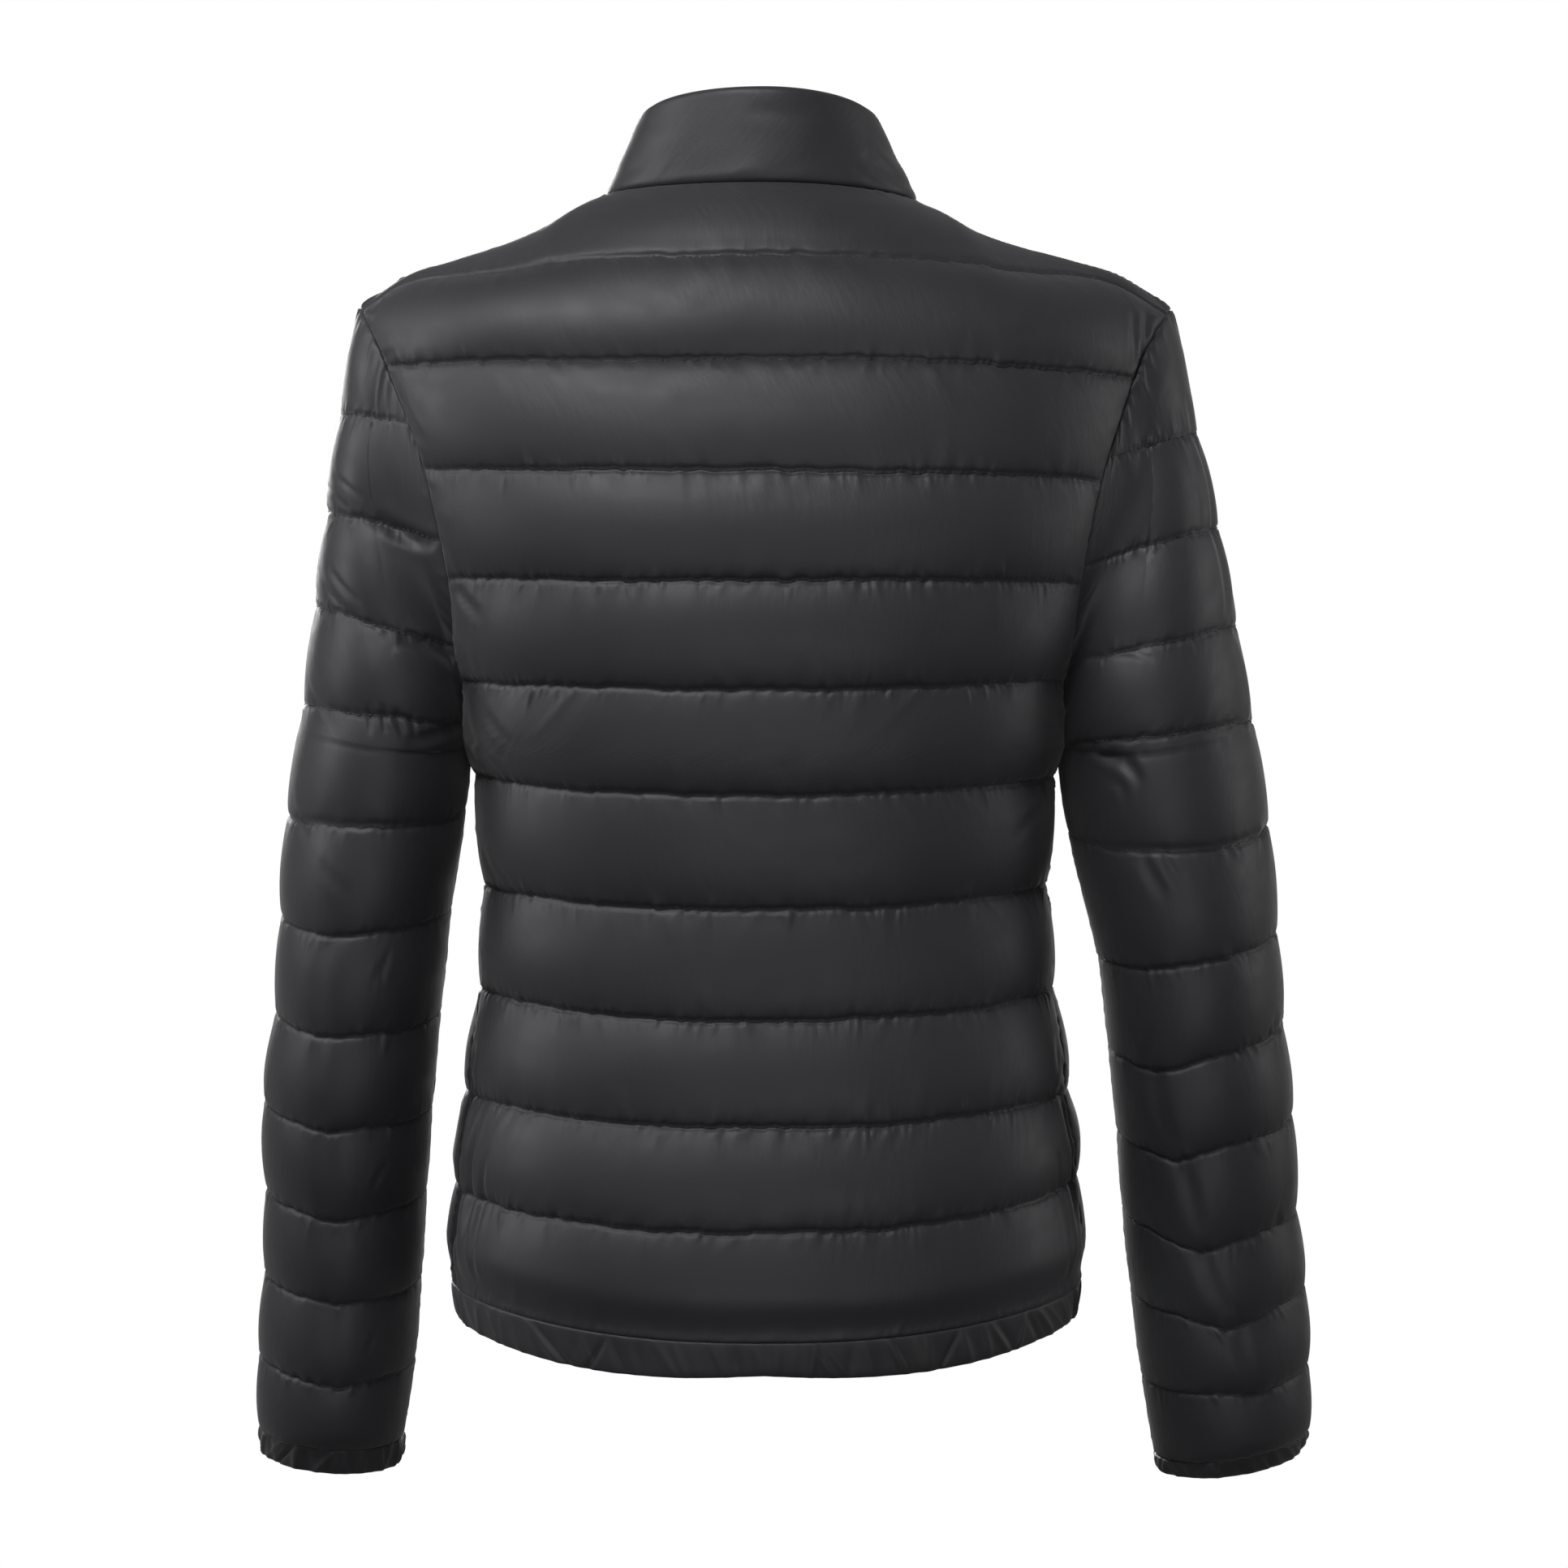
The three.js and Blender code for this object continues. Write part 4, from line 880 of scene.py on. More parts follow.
BACK_CREASES = [
    (158, -206, 141, -222, 2.6, 1.3, 1),
    (150, -257, 125, -288, 2.6, 1.5, 2),
    (148, -267, 128, -294, 2.2, 1.2, 2),
    (152, -274, 136, -300, 2.4, 1.3, 1),
    (149, -288, 140, -301, 3.0, 1.6, 3),
    (142, -345, 133, -359, 2.0, 1.0, 1),
    (136, -350, 128, -360, 1.8, 0.8, 0),
    (-156, -474, -157, -500, 3.0, 1.4, 1),
    (-150, -440, -152, -462, 2.6, 1.0, 1),
    (-198, -63, -197, -101, 3.0, 1.7, 1),
    (-190, -66, -191, -96, 2.4, 1.0, 1),
    (-203, -72, -206, -90, 2.0, 1.1, 0),
    (186, -110, 172, -132, 2.6, 0.9, 2),
    (-184, -168, -166, -182, 2.6, 1.1, -2),
    (-170, -236, -150, -249, 2.4, 1.0, -2),
    (-140, -318, -124, -334, 2.6, 1.0, -1),
]
SIDE_FOLDS = [
    (147, -446, 154, -506, 1.7, 3.2, 2),
    (149, -464, 158, -562, 1.8, 4.0, 3),
    (143, -476, 152, -548, 1.7, 2.4, 2),
    (154, -496, 162, -582, 1.5, 3.6, 2),
    (139, -500, 147, -566, 1.8, 1.6, 2),
    (-153, -470, -160, -540, 1.8, 2.2, -2),
    (-148, -500, -156, -566, 1.7, 1.6, -2),
]


def set_weight(part, at):
    """How much of the shoulder's set a row takes, by its line in the back and its yoke share in front."""
    return ease(at - SET_FROM[part], SET_OVER[part])


def settled(p, side, shares, weight):
    """The yoke with its shoulder line hollow by the neck and full by the tip."""
    column = shares * COLUMNS
    lift = np.where(column > NECK_COLUMNS, curve(SHOULDER_SET[side], np.maximum(column - NECK_COLUMNS, 0)), 0)
    return p + points(0, 0, weight * lift[None, :])


def torso_half(side, part, shares, rows_line):
    """Base points and lines of quilting for one side of a panel, rows from the hem up."""
    share = shares[None, :]
    if part == "front":
        stations = rows_line
        p = torso_surface(side, part, share, stations[:, None])
        tube_line = np.minimum(stations / STEPS, FROM_LINE[part])[:, None]
        yoke_line = np.interp(p[..., 2], FRONT_YOKE_LEVELS, range(8, 12))
        line = np.where(stations[:, None] > FROM_LINE[part] * STEPS, yoke_line, tube_line + 0 * share)
        return p, line
    place = np.linspace(0, 1, 161)
    scan = torso_surface(side, part, shares[:, None], FROM_LINE[part] * STEPS + YOKE_STEPS[part] * place)
    outward = (np.abs(scan[..., 0]) / YOKE_LINE["reach"]) ** YOKE_LINE["power"]
    over_it = scan[..., 2] >= YOKE_LINE["middle_z"] - YOKE_LINE["fall"] * outward
    crossed = np.where(over_it.any(axis=1), np.argmax(over_it, axis=1), len(place) - 1)
    split = np.clip(place[crossed], YOKE_LINE["least"], YOKE_LINE["most"])
    wide = np.concatenate([split[YOKE_LINE_EVEN:0:-1], split, np.full(YOKE_LINE_EVEN, split[-1])])
    window = 2 * YOKE_LINE_EVEN + 1
    split = np.convolve(wide, np.ones(window) / window, "valid")
    line = rows_line[:, None] + 0 * share
    over = rows_line[:, None] - FROM_LINE[part]
    t = np.where(over <= 1, over * split, split + (over - 1) * (1 - split))
    station = np.where(over > 0, FROM_LINE[part] * STEPS + YOKE_STEPS[part] * t, rows_line[:, None] * STEPS)
    return torso_surface(side, part, share, station), line


def panel(name, seed, p, line, normals, seams, crease_rows, facing_y):
    along, down = run_length(p, 1), run_length(p, 0)
    fixed = np.clip(down / 12, 0, 1)
    for gap, _, _, _, _ in seams:
        fixed = fixed * np.clip(gap / 12, 0, 1)
    p = p + (wobbled(p, seed + 50, along, line) - p) * fixed[..., None]
    height = channel_height(down, line)
    between = line - np.floor(line)
    between = np.where(line >= np.max(line), 1, between)
    full = section(between)
    full = full * np.where(line < 0.5, ease(down, HEM_EASE), 1)
    side_gap = np.minimum(seams[0][0], seams[1][0]) if name == "back" else seams[1][0]
    narrow = np.clip(height / NARROW_CHANNEL, 0.1, 1)
    puff = TORSO_PUFF * (SIDE_PUFF + (1 - SIDE_PUFF) * ease(side_gap, SIDE_REACH)) * narrow
    if name == "back":
        puff = puff * (1 - (1 - YOKE_PUFF) * ease(line - YOKE_THIN["from_line"], YOKE_THIN["over"]))
    else:
        puff = puff * (YOKE_PUFF + (1 - YOKE_PUFF) * ease(seams[2][0], YOKE_THIN["front"]))
    raised = quilting(seed, line, along, down, height, full, puff, seams, PUCKER_SPACING["torso"])
    shown = np.clip(normals[..., 1] * facing_y * 3 + 0.6, 0, 1)
    raised = raised + creases(crease_rows, p[..., 0], p[..., 2]) * shown
    outer = p + normals * raised[..., None]
    inner_puff = LINING_PUFF * lining_round(between) * narrow
    for gap, _, _, _, _ in seams:
        inner_puff = inner_puff * pillow(gap, 10)
    inner = p - normals * (SEAM_IN + inner_puff)[..., None]
    made = shell(name + "_cloth", outer, inner, np.stack([along, down], axis=-1))
    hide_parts(name)
    dress(made, shell_cloth)
    return outer


def torso_lines(part):
    lines = [0.0]
    for n in range(FROM_LINE[part]):
        lines.extend(n + channel_steps(CHANNEL_ROWS))
    return lines


def make_back():
    lines = torso_lines("back")
    for n in range(2):
        lines.extend(FROM_LINE["back"] + n + channel_steps(BACK_YOKE_ROWS))
    lines = np.array(lines)
    shares = np.linspace(0, 1, BACK_HALF_COLUMNS + 1)
    halves = {side: torso_half(side, "back", shares, lines) for side in SIDE}
    p = np.concatenate([halves["left"][0][:, ::-1], halves["right"][0][:, 1:]], axis=1)
    over = (np.clip(lines - FROM_LINE["back"], 0, 2) / 2)[:, None, None]
    p = smoothed(p, ease(over, 0.3) * ease(1 - over, 0.25), 12)
    weight = set_weight("back", lines)[:, None]
    middle = BACK_HALF_COLUMNS
    left = settled(p[:, :middle], "left", shares[:0:-1], weight)
    right = settled(p[:, middle:], "right", shares, weight)
    p = np.concatenate([left, right], axis=1)
    line = np.concatenate([halves["left"][1][:, ::-1], halves["right"][1][:, 1:]], axis=1)
    normals = grid_normals(p, 1)
    normals = normals * np.where(normals[len(lines) // 2, BACK_HALF_COLUMNS, 1] > 0, 1, -1)
    along, down = run_length(p, 1), run_length(p, 0)
    edge_run = down[:, :1] + 0 * along
    left_gap, right_gap = along, along[:, -1:] - along
    top_gap = down[-1:] - down
    station = np.where(lines <= 9, lines * STEPS, 27 + (lines - 9) * 2)
    s = np.clip(station - UNDERARM_STATION, 0, LOOP_HALF)
    above = (station >= UNDERARM_STATION)[:, None, None]
    for side, gap in (("left", left_gap), ("right", right_gap)):
        seam_normal = np.where(above, loop_normal(side, s)[:, None], normals)
        normals = lean_to(normals, seam_normal, gap)
    column = shares * COLUMNS
    top = np.concatenate([top_normal("left", "back", column)[::-1], top_normal("right", "back", column)[1:]])
    normals = lean_to(normals, top[None], top_gap)
    right_run = down[:, -1:] + 0 * along
    seams = [
        (left_gap, edge_run, 0.6, 14, 1.2),
        (right_gap, right_run, 0.6, 14, 1.2),
        (top_gap, along, 0.2, 20, 0.8),
    ]
    outer = panel("back", 10, p, line, normals, seams, BACK_CREASES + SIDE_FOLDS, 1)
    stitches("stitches_back", outer, normals, line, range(1, 11))


def make_front(side):
    stations = np.array(torso_lines("front")) * STEPS
    yoke = YOKE_STEPS["front"] * np.arange(1, FRONT_YOKE_ROWS + 1) / FRONT_YOKE_ROWS
    stations = np.concatenate([stations, FROM_LINE["front"] * STEPS + yoke])
    shares = np.linspace(0, 1, FRONT_COLUMNS + 1)
    p, line = torso_half(side, "front", shares, stations)
    over = np.clip(stations / STEPS - FROM_LINE["front"], 0, None) / (YOKE_STEPS["front"] / STEPS)
    over = over[:, None, None]
    p = smoothed(p, ease(over, 0.3) * ease(1 - over, 0.25), 10)
    p = settled(p, side, shares, set_weight("front", over[:, :, 0]))
    normals = grid_normals(p, 1)
    normals = normals * np.where(normals[len(stations) // 2, 10, 1] < 0, 1, -1)
    along, down = run_length(p, 1), run_length(p, 0)
    edge_gap = along[:, -1:] - along
    top_gap = down[-1:] - down
    s = np.clip(UNDERARM_STATION + 2 * LOOP_HALF - stations, LOOP_HALF, 2 * LOOP_HALF)
    above = (stations >= UNDERARM_STATION)[:, None, None]
    normals = lean_to(normals, np.where(above, loop_normal(side, s)[:, None], normals), edge_gap)
    normals = lean_to(normals, top_normal(side, "front", shares * COLUMNS)[None], top_gap)
    front_run, edge_run = down[:, :1] + 0 * along, down[:, -1:] + 0 * along
    seams = [
        (along, front_run, 0.5, 9, 1.0),
        (edge_gap, edge_run, 0.6, 14, 1.2),
        (top_gap, along, 0.3, 16, 0.9),
    ]
    seed = 20 if side == "left" else 30
    rows = [(-x1, z1 - 9, -x2, z2 - 9, w, d, b) for x1, z1, x2, z2, w, d, b in BACK_CREASES] + SIDE_FOLDS
    outer = panel("front_" + side, seed, p, line, normals, seams, rows, -1)
    stitches("stitches_front_" + side, outer, normals, line, range(1, 11))


# Sleeves

SLEEVE_CREASES = {
    "left": [
        (229, -152, 214, -167, 1.7, 0.7, 0),
        (223, -146, 207, -162, 1.6, 0.6, 0),
        (234, -161, 222, -172, 1.6, 0.5, 0),
        (231, -198, 213, -222, 1.9, 0.8, 1),
        (225, -194, 208, -216, 1.7, 0.7, 1),
        (236, -206, 223, -227, 1.7, 0.6, 0),
        (238, -256, 224, -276, 1.8, 0.7, 1),
        (202, -170, 170, -186, 4.6, 2.0, 2),
        (190, -234, 162, -246, 4.6, 2.0, -3),
        (205, -268, 203, -283, 1.6, 1.0, 0),
        (198, -267, 196, -283, 1.6, 1.0, 0),
        (191, -270, 188, -284, 1.6, 0.9, 0),
        (184, -272, 182, -284, 1.6, 0.8, 0),
        (187, -286, 161, -277, 3.4, 1.4, 2),
        (246, -318, 236, -338, 2.2, 1.0, 1),
        (228, -350, 214, -366, 3.0, 0.9, 1),
        (228, -390, 230, -470, 6.0, 0.7, 2),
        (231, -470, 229, -560, 6.0, 0.8, -2),
        (228, -560, 226, -640, 6.0, 0.7, 2),
        (196, -395, 202, -413, 1.8, 0.7, 1),
        (201, -400, 206, -414, 1.6, 0.5, 0),
        (200, -508, 208, -522, 1.7, 0.6, 1),
        (206, -599, 213, -612, 1.7, 0.6, 1),
    ],
    "right": [
        (-219, -106, -240, -222, 2.2, 1.3, -3),
        (-226, -120, -246, -220, 1.8, 1.0, -3),
        (-213, -112, -228, -176, 2.0, 0.9, -2),
        (-248, -232, -256, -276, 2.0, 1.0, -1),
        (-192, -182, -200, -192, 3.0, 0.5, 1),
        (-183, -241, -202, -245, 2.4, 0.6, -1),
        (-176, -292, -197, -310, 3.8, 1.6, -4),
        (-180, -306, -190, -316, 2.8, 0.9, -3),
        (-170, -286, -184, -296, 2.4, 1.4, 3),
        (-197, -346, -210, -367, 3.6, 1.2, 1),
        (-206, -342, -220, -364, 3.0, 0.9, 1),
        (-262, -330, -256, -360, 2.4, 0.9, -1),
        (-200, -455, -206, -440, 3.0, 1.0, 1),
        (-204, -452, -216, -500, 5.0, 1.2, 2),
        (-216, -500, -229, -548, 5.0, 1.2, -2),
        (-229, -548, -245, -590, 5.0, 1.2, 2),
        (-245, -590, -259, -640, 5.0, 1.1, -2),
        (-268, -430, -262, -452, 2.4, 0.8, 1),
        (-275, -520, -268, -545, 2.4, 0.8, 1),
    ],
}


# Where the lines of a sleeve's back dip to a point: the line, how far out, and how deep the dip is.
SLEEVE_KINKS = {
    "left": table(
        "q x dip",
        [(5, 224, 0), (6, 226, 2), (7, 229, 3.5), (8, 229, 4), (9, 227, 4), (10, 226, 3.5), (11, 227, 3.5),
         (12, 228, 1)],
    ),
    "right": table(
        "q x dip",
        [(5, 204, 0), (6, 204, 1), (7, 206, 4.5), (8, 217, 6.5), (9, 230, 7.5), (10, 246, 6), (11, 261, 4.5),
         (12, 266, 1)],
    ),
}
KINK_REACH = 27
# A sleeve's front has the creases of its back, lower and softer.
FRONT_CREASE = {"lower": 14, "strength": 0.45}


def kinked(side, p, line, facing):
    """The grid with its rows drawn down to the points of the kinks."""
    kinks = SLEEVE_KINKS[side]
    x = np.interp(line, kinks["q"], kinks["x"])
    dip = np.interp(line, kinks["q"], kinks["dip"])
    away = np.abs(np.abs(p[..., 0]) - x) / KINK_REACH
    point = np.maximum(1 - away, 0) ** 1.25
    return p - points(0, 0, dip * point * facing)


def make_sleeve(side):
    columns = np.linspace(0, SLEEVE_COLUMNS, SLEEVE_FINE_COLUMNS + 1)
    first, second = RINGS[side]["q"][:2]
    t = np.arange(CAP_ROWS + 1) / CAP_ROWS
    column, share = np.meshgrid(columns, t)
    cap = cap_surface(side, column, share)
    upper = first + (second - first) * np.arange(1, UPPER_ROWS + 1) / UPPER_ROWS
    lines = list(upper)
    for q in range(int(second), LAST_LINE):
        lines.extend(q + channel_steps(SLEEVE_CHANNEL_ROWS))
    lines = np.array(lines)
    column, q = np.meshgrid(columns, lines)
    tube = ring_point(side, RINGS[side], row_of_line(side, q), column_turn(column))
    fading = np.clip(1 - (q - first) / (second - first), 0, 1)[..., None]
    tube = tube + underarm_pull(side, column) * fading
    p = np.concatenate([cap, tube])
    line = np.concatenate([cap_line(side, cap), q])
    s = CAP_STEPS + columns
    back_set = set_weight("back", FROM_LINE["back"] + (s - LOOP_HALF + YOKE_STEPS["back"]) / 2)
    front_share = (LOOP_HALF - s + YOKE_STEPS["front"]) / YOKE_STEPS["front"]
    tip_set = np.where(s <= LOOP_HALF, back_set, set_weight("front", front_share)) * SHOULDER_SET[side][-1]
    p = p + points(0, 0, tip_set[None] * (1 - ease(run_length(p, 0), 40)))
    normals = grid_normals(p, 1, closed_from=CAP_ROWS)
    outward = normals[len(p) // 2 + 20, SLEEVE_FINE_COLUMNS // 2, 0] * SIDE[side] > 0
    normals = normals * (1 if outward else -1)
    along, down = run_length(p, 1), run_length(p, 0)
    normals = lean_to(normals, loop_normal(side, CAP_STEPS + columns)[None], down)
    edge_row = np.minimum(np.arange(len(p)) / CAP_ROWS, 1) * CAP_STEPS
    in_cap = (np.arange(len(p)) < CAP_ROWS)[:, None]
    back_gap, front_gap = along, along[:, -1:] - along
    back_seam = loop_normal(side, CAP_STEPS - edge_row)[:, None]
    front_seam = loop_normal(side, 2 * LOOP_HALF - CAP_STEPS + edge_row)[:, None]
    normals = lean_to(normals, back_seam, np.where(in_cap, back_gap, 1e3))
    normals = lean_to(normals, front_seam, np.where(in_cap, front_gap, 1e3))
    run = down[:, :1] + 0 * along
    seams = [(down, along, 0.3, 26, 1.2), (back_gap, run, 0.55, 14, 0.4), (front_gap, run, 0.55, 14, 0.4)]
    seed = 40 if side == "left" else 60
    moved = wobbled(p, seed + 50, along, line, 1.0)
    fixed = np.clip(np.minimum(back_gap, front_gap) / 10, 0, 1) * np.clip(down / 10, 0, 1)
    fixed = fixed * np.clip((down[-1:] - down) / 12, 0, 1)
    p = p + (moved - p) * fixed[..., None]
    p = kinked(side, p, line, np.clip(normals[..., 1] * 1.5, 0, 1) * fixed)
    upward = LAST_LINE - line
    between = np.where(upward >= LAST_LINE, 1, upward - np.floor(upward))
    full = section(np.where(line < 1, between / 2, between))
    height = channel_height(down, line)
    turning = np.cos(column_turn(columns))[None]
    loss = INNER_PUFF_LOSS * np.clip(-turning, 0, 1) ** 2 + OUTER_PUFF_LOSS * np.clip(turning, 0, 1) ** 2
    puff = SLEEVE_PUFF * (1 - loss)
    raised = quilting(seed, upward, along, down, height, full, puff, seams, PUCKER_SPACING["sleeve"])
    back_half = np.clip(normals[..., 1] * 3 + 0.6, 0, 1)
    front_half = np.clip(-normals[..., 1] * 3 + 0.6, 0, 1)
    raised = raised + creases(SLEEVE_CREASES[side], p[..., 0], p[..., 2]) * back_half
    lower = p[..., 2] + FRONT_CREASE["lower"]
    raised = raised + creases(SLEEVE_CREASES[side], p[..., 0], lower, FRONT_CREASE["strength"]) * front_half
    raised[:, -1] = np.where(in_cap[:, 0], raised[:, -1], raised[:, 0])
    normals[CAP_ROWS:, -1] = normals[CAP_ROWS:, 0]
    p[CAP_ROWS:, -1] = p[CAP_ROWS:, 0]
    outer = p + normals * raised[..., None]
    inner = p - normals * (SEAM_IN + SLEEVE_LINING_PUFF * lining_round(between))[..., None]
    name = "sleeve_" + side
    made = shell(name + "_cloth", outer, inner, np.stack([along, down], axis=-1), joined=True)
    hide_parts(name)
    dress(made, shell_cloth)
    stitches("stitches_" + name, outer, normals, line, range(1, LAST_LINE))


# Gathered bands: cuffs and hem band


def gathers(seed, along, down, spacing, height):
    """Uneven ridges across an elastic band, some of them leaning."""
    rng = np.random.default_rng(seed)
    made = np.zeros_like(along)
    at, stop = along.min(), along.max()
    while at < stop:
        at += spacing * rng.uniform(0.45, 1.55)
        width = spacing * rng.uniform(0.2, 0.4)
        slope = rng.normal(0, 0.35)
        rise = height * rng.uniform(0.3, 1.3) * (1 if rng.random() < 0.75 else -0.8)
        made += rise * np.exp(-(((along - at - slope * (down - down.mean())) / width) ** 2))
    return made


def band(name, top, bottom, normal, seed, spacing, height, ring, rows=16):
    """A gathered band between two lines of points, thin at its top seam and round at its lower edge."""
    t = (np.arange(rows + 1) / rows)[:, None]
    p = top[None] * (1 - t[..., None]) + bottom[None] * t[..., None]
    along, down = run_length(p, 1), run_length(p, 0)
    folds = gathers(seed, along, down, spacing, height)
    if ring:
        fade = np.clip(np.minimum(along, along[:, -1:] - along) / spacing, 0, 1)
        folds = folds * fade
    p = p + normal[None] * (folds * (0.25 + 0.75 * np.sin(np.pi * np.clip(t * 0.8, 0, 1))))[..., None]
    half = BAND_HALF * pillow(1.02 - t, 0.3) * (0.6 + 0.4 * pillow(t, 0.3))
    outer = p + normal[None] * half[..., None]
    inner = p - normal[None] * half[..., None]
    made = shell(name + "_cloth", outer, inner, np.stack([along, down], axis=-1), joined=ring, coarse=2)
    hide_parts(name)
    dress(made, band_cloth)
    return p, outer


def ring_of_halves(make, count):
    """Points from the centre front round the wearer's left and the back to the centre front again."""
    share = np.linspace(0, 1, count + 1)
    return np.concatenate([
        make("left", "front", share),
        make("left", "back", share[::-1])[1:],
        make("right", "back", share)[1:],
        make("right", "front", share[::-1])[1:],
    ])


def make_hem_band():
    top = ring_of_halves(lambda side, part, share: torso_surface(side, part, share, 0.0), 220)
    normal = unit(np.cross(np.gradient(top, axis=0), points(0, 0, 1)))
    normal = normal * np.where(np.sum(normal * top, axis=1, keepdims=True) < 0, -1, 1)
    normal = unit(normal * (1, 1, 0))
    fuller = HEM_BAND["fuller"] * np.sin(np.pi * np.clip(np.abs(top[:, 0]) / HEM_BAND["fuller_to"], 0, 1))
    bottom = top - normal * HEM_BAND["inset"] + points(0, 0, -HEM_BAND["height"] - fuller)
    front = (np.abs(top[:, 0]) < CENTRE_FRONT + 0.3) & (top[:, 1] < 0)
    bottom[front, 0] = top[front, 0]
    band("hem_band", top, bottom, normal, 70, 8.5, 1.4, False)


def make_cuff(side):
    columns = np.linspace(0, SLEEVE_COLUMNS, 201)
    turn = column_turn(columns)
    top = ring_point(side, RINGS[side], np.full(turn.shape, 8.0), turn)
    bottom = ring_point(side, CUFF_RING[side], np.zeros_like(turn), turn)
    middle = top[:-1].mean(axis=0)
    normal = unit((top - middle) * (1, 1, 0))
    seed = 80 if side == "left" else 90
    bottom = bottom - points(0, 0, CUFF_DROP[side])
    band("cuff_" + side, top, bottom, normal, seed, 7.0, 1.9, True, rows=12)


# Collar


COLLAR_CREASES = [
    (-50, 20, -76, 2, 3.6, 0.9, 2),
    (-44, 12, -74, -3, 3.0, 0.7, 2),
    (-56, 30, -72, 16, 4.0, 0.6, 1),
    (54, 16, 78, 10, 3.0, 0.4, -1),
    (48, 30, 66, 40, 4.5, 0.4, 1),
    (-30, 34, 10, 40, 5.0, 0.4, 2),
]


def make_collar():
    base = ring_of_halves(neck_point, 60)
    seam_normal = ring_of_halves(neck_normal, 60)

    def top_edge(side, part, share):
        turn = share * math.pi / 2
        place = COLLAR_TOP[part]
        start = 0 if part == "back" else CENTRE_FRONT
        x = start + (COLLAR_TOP[side] - start) * np.sin(turn)
        bend = (COLLAR_CORNER[side] if part == "back" else NECK_FALL_POWER) / 2
        low, high = CORNER_SOFT**bend, (1 + CORNER_SOFT) ** bend
        fall = ((np.cos(turn) ** 2 + CORNER_SOFT) ** bend - low) / (high - low)
        z = COLLAR_TOP["side_z"] + (place["z"] - COLLAR_TOP["side_z"]) * fall
        return points(SIDE[side] * x, place["y"] * np.cos(turn), z)

    top = ring_of_halves(top_edge, 60)
    rows = 32
    t = (np.arange(rows + 1) / rows)[:, None]
    p = base[None] * (1 - t[..., None]) + top[None] * t[..., None]
    level = unit(p * (1, 1, 0))
    front = np.abs(p[..., :1]) <= CENTRE_FRONT + 0.3
    level = np.where(front & (p[..., 1:2] < 0), points(0, -1, 0), level)
    along, down = run_length(p, 1), run_length(p, 0)
    normal = lean_to(level, seam_normal[None], down, 3)
    end_gap = np.minimum(along, along[:, -1:] - along)
    half = SEAM_IN + (COLLAR_HALF - SEAM_IN) * pillow(down, 6) * pillow(end_gap, 8)
    half = half * np.maximum(pillow(down[-1:] - down, 3), 0.12)
    ripple = 0.45 * noise(5, along / 34, down / 22) + 0.2 * noise(6, along / 15, down / 19)
    ripple = ripple + puckers(7, along.ravel(), down.ravel(), 9, 7, 0.4).reshape(along.shape)
    ripple = ripple * ease(down, 8) * ease(end_gap, 12)
    behind = np.clip(normal[..., 1] * 3 + 0.8, 0, 1)
    ripple = ripple + creases(COLLAR_CREASES, p[..., 0], p[..., 2]) * behind * ease(down, 3)
    outer = p + normal * (half + ripple)[..., None]
    inner = p - normal * (half - 0.5 * ripple)[..., None]
    made = shell("collar_cloth", outer, inner, np.stack([along, down], axis=-1), coarse=4)
    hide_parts("collar")
    dress(made, shell_cloth)


# Zip


def centre_front_path(side):
    """The line down the closed front, from the hem's bottom to the collar's top, as y and z with normals."""
    edge = torso_surface(side, "front", 0.0, np.linspace(0, 31, 125))
    low = edge[0] + np.array([0, HEM_BAND["inset"], -HEM_BAND["height"]])
    high = np.array([0, COLLAR_TOP["front"]["y"], COLLAR_TOP["front"]["z"] - ZIP["from_top"]])
    path = np.concatenate([[low], edge, [high]])[:, 1:]
    step = np.gradient(path, axis=0)
    step /= np.linalg.norm(step, axis=1, keepdims=True)
    return path, np.stack([-step[:, 1], step[:, 0]], axis=-1)


def make_zip(side):
    path, normal = centre_front_path(side)
    run = np.concatenate([[0], np.cumsum(np.linalg.norm(np.diff(path, axis=0), axis=1))])

    def at(s, out):
        """y and z at a length along the path, moved out from it."""
        return np.array([np.interp(s, run, path[:, k]) + out * np.interp(s, run, normal[:, k]) for k in (0, 1)])

    count = 280
    places = np.linspace(0, run[-1], count + 1)
    across = np.linspace(0.2, ZIP["reach"], 9)
    ripple = 0.15 * noise(11, places[:, None] / 5, across[None])
    sideways = SIDE[side] * across[None] + 0 * places[:, None]
    grid = lambda out: points(sideways, *at(places[:, None], out + ripple))
    uv = np.stack(np.broadcast_arrays(across[None], places[:, None]), axis=-1)
    tape = shell("zip_tape_" + side, grid(ZIP["near"]), grid(ZIP["deep"]), uv, coarse=4)
    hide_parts("zip_" + side)
    dress(tape, tape_cloth)
    verts, faces = [], []
    offset = 0.4 if side == "left" else 0.4 + TOOTH["pitch"] / 2
    pitch = TOOTH["pitch"]
    for s in np.arange(offset, run[-1] - pitch, pitch):
        add_tooth(verts, faces, at, s, SIDE[side])
    teeth = mesh_object("zip_teeth_" + side, np.array(verts), faces, smooth=False)
    tidy_mesh(teeth, False)
    dress(teeth, teeth_plastic)


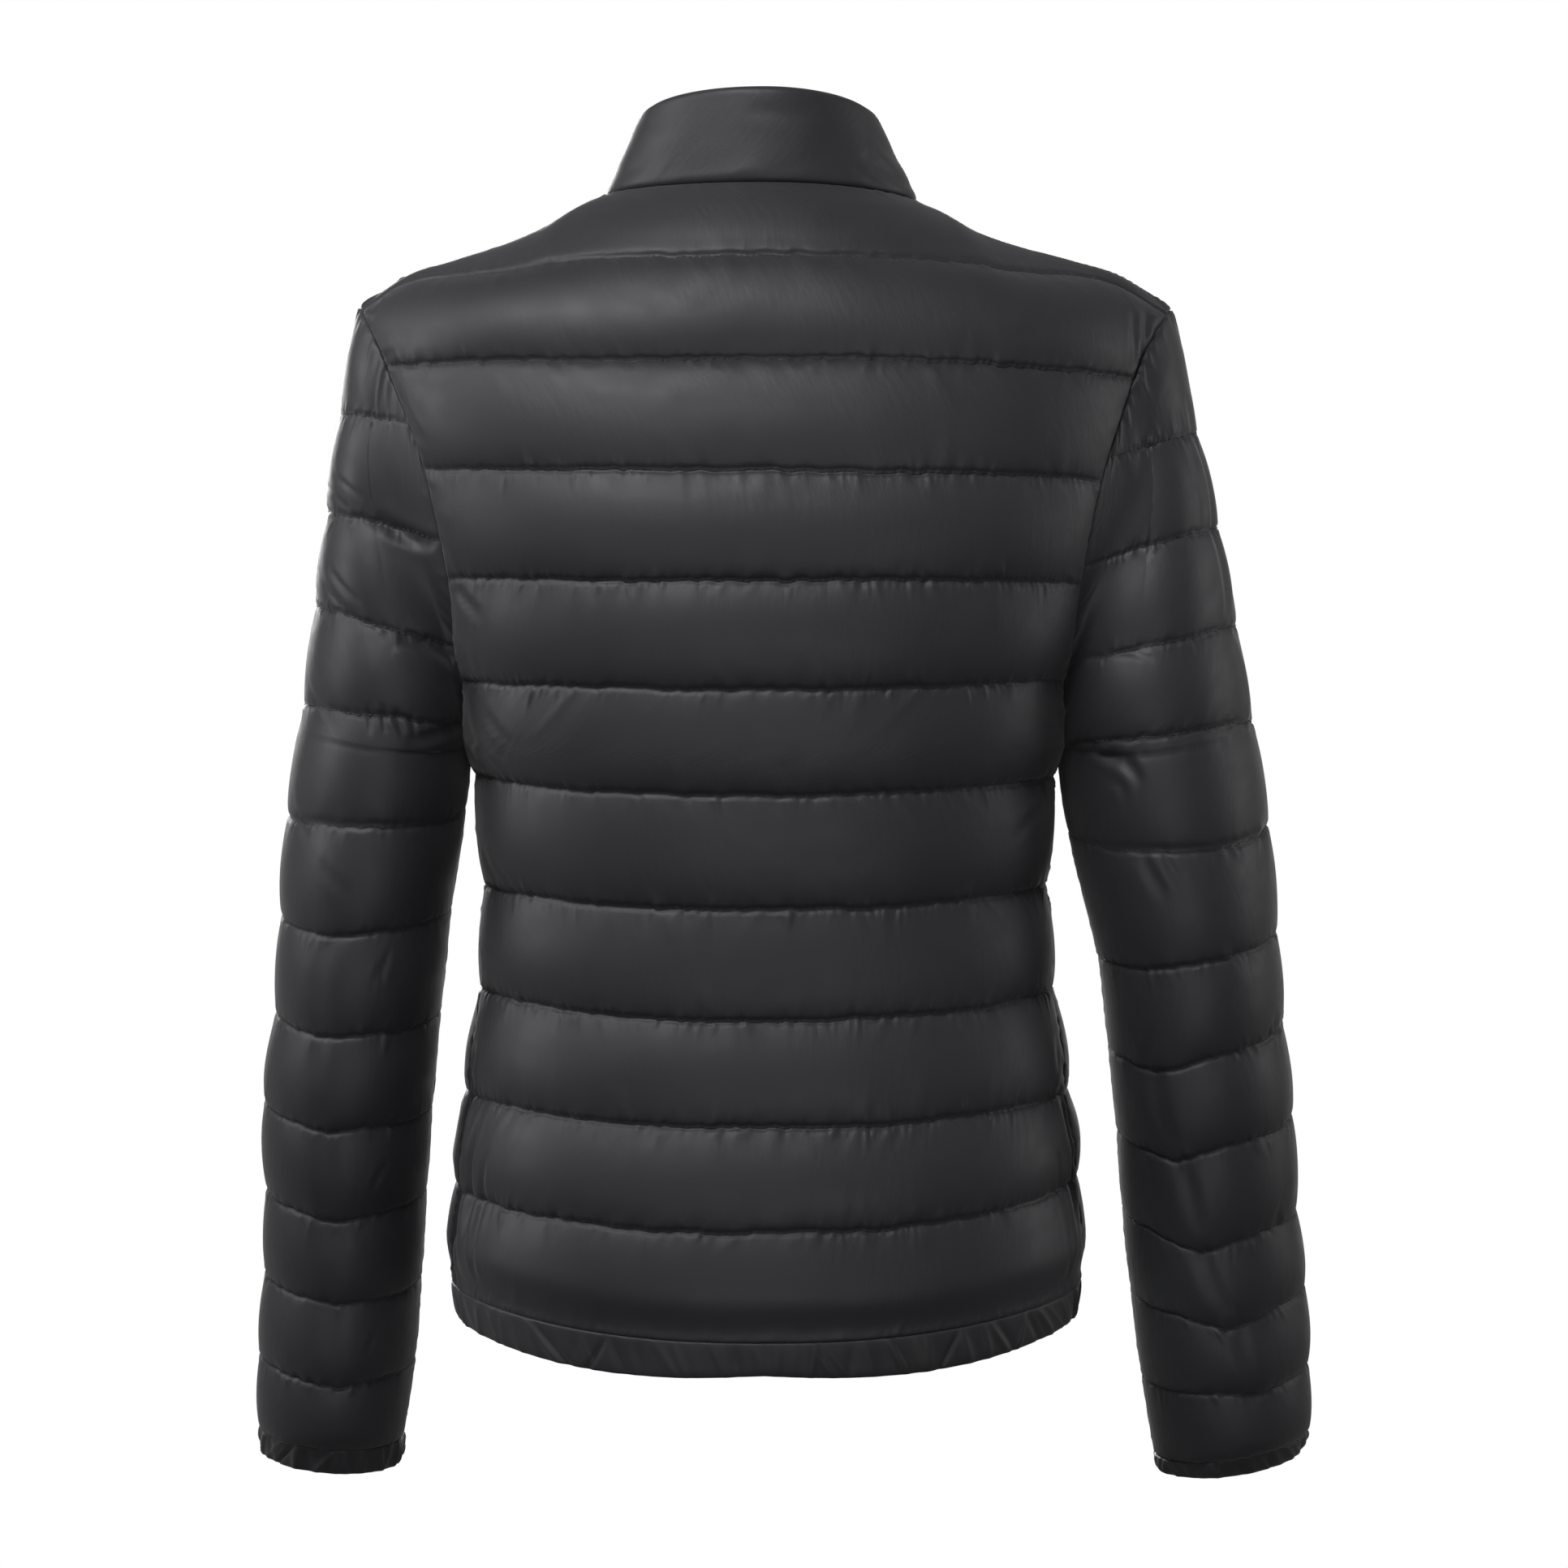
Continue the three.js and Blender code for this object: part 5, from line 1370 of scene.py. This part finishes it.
def add_tooth(verts, faces, at, s, sign):
    """A moulded tooth: a block with a narrower head at the middle of the closed chain."""
    height = TOOTH["height"]
    sections = [(TOOTH["reach"], 0.5), (2.6, 0.92), (1.5, 0.92), (1.0, 0.7), (0.16, 0.62)]
    first = len(verts)
    for x, share in sections:
        for out, narrow in ((TOOTH["deep"], 1.0), (TOOTH["proud"] - 0.35, 1.0), (TOOTH["proud"], 0.7)):
            low = s + height * (1 - share * narrow) / 2
            y, z = at(low, out)
            verts.append((sign * x, y, z))
        for out, narrow in ((TOOTH["proud"], 0.7), (TOOTH["proud"] - 0.35, 1.0), (TOOTH["deep"], 1.0)):
            high = s + height * (1 + share * narrow) / 2
            y, z = at(high, out)
            verts.append((sign * x, y, z))
    ring = 6
    for k in range(len(sections) - 1):
        for n in range(ring):
            a, b = first + k * ring + n, first + k * ring + (n + 1) % ring
            faces.append([a, b, b + ring, a + ring])
    faces.append([first + n for n in range(ring)])
    faces.append([first + (len(sections) - 1) * ring + n for n in reversed(range(ring))])


def finish_metal(node):
    """The zip's metal pieces keep their shape, with softened edges."""
    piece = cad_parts[node]
    bevel = piece.modifiers.new("soft_edges", "BEVEL")
    bevel.width = 0.18 * METRE
    bevel.segments = 2
    bevel.limit_method = "ANGLE"
    for slot in piece.material_slots:
        slot.material = slider_metal


make_back()
for side in SIDE:
    make_front(side)
    make_sleeve(side)
    make_cuff(side)
    make_zip(side)
make_collar()
make_hem_band()
finish_metal("zip_slider")
finish_metal("zip_pull")


# Floor, light and camera


def make_floor():
    radius, level, sides = 3.0, -1.42, 96
    mesh = bpy.data.meshes.new("floor")
    turns = [2 * math.pi * k / sides for k in range(sides)]
    rim = [(radius * math.cos(a), radius * math.sin(a), level) for a in turns]
    mesh.from_pydata(rim, [], [list(range(sides))])
    floor = bpy.data.objects.new("floor", mesh)
    bpy.context.scene.collection.objects.link(floor)
    pale, tree, shader = new_material("pale_floor", (0.86, 0.86, 0.86), 0.75)
    shader.inputs["Emission Color"].default_value = (1, 1, 1, 1)
    shader.inputs["Emission Strength"].default_value = 0.72
    floor.visible_diffuse = False
    floor.visible_glossy = False
    mesh.materials.append(pale)


def aim(obj, target):
    obj.rotation_euler = (Vector(target) - obj.location).to_track_quat("-Z", "Y").to_euler()


def area_light(name, place, size, watts, target=(0, 0, -0.3), spread=180):
    lamp = bpy.data.lights.new(name, "AREA")
    lamp.shape = "RECTANGLE"
    lamp.size, lamp.size_y = size
    lamp.energy = watts
    lamp.spread = math.radians(spread)
    obj = bpy.data.objects.new(name, lamp)
    obj.location = place
    bpy.context.scene.collection.objects.link(obj)
    aim(obj, target)


def make_world():
    world = bpy.data.worlds.new("studio")
    world.use_nodes = True
    bpy.context.scene.world = world
    tree = world.node_tree
    background = tree.nodes["Background"]
    background.inputs["Color"].default_value = (1, 1, 1, 1)
    background.inputs["Strength"].default_value = 0.12
    seen = add_node(tree, "ShaderNodeBackground", Color=(1, 1, 1, 1), Strength=1.0)
    path = tree.nodes.new("ShaderNodeLightPath")
    either = tree.nodes.new("ShaderNodeMixShader")
    tree.links.new(path.outputs["Is Camera Ray"], either.inputs["Fac"])
    tree.links.new(background.outputs["Background"], either.inputs[1])
    tree.links.new(seen.outputs["Background"], either.inputs[2])
    tree.links.new(either.outputs["Shader"], tree.nodes["World Output"].inputs["Surface"])


def make_camera():
    lens = bpy.data.cameras.new("camera")
    lens.sensor_width = 36
    lens.lens = 130
    camera = bpy.data.objects.new("camera", lens)
    camera.location = (-0.0103, 3.0, -0.218)
    bpy.context.scene.collection.objects.link(camera)
    aim(camera, (-0.0103, 0, -0.311))
    bpy.context.scene.camera = camera


make_floor()
make_world()
area_light("key", (0.8, 1.3, 1.5), (1.9, 0.7), 6.3, target=(0.2, 0, 0.12), spread=56)
area_light("fill", (-0.6, 3.2, 0.3), (2.0, 2.0), 5)
area_light("low_fill", (-0.1, 2.9, -1.0), (2.4, 1.2), 2.4, target=(0.1, 0, -0.12), spread=70)
area_light("left_rim", (1.9, 0.2, 0.5), (0.7, 1.4), 18)
area_light("right_rim", (-1.9, -0.2, 0.1), (0.7, 1.4), 7)
area_light("front_key", (0.5, -2.6, 0.2), (1.8, 0.6), 13, target=(0, 0, -0.42), spread=66)
area_light("front_fill", (-0.9, -2.8, -0.3), (2.0, 1.4), 7)
make_camera()
bpy.context.scene.view_settings.view_transform = "Standard"

bpy.context.view_layer.update()
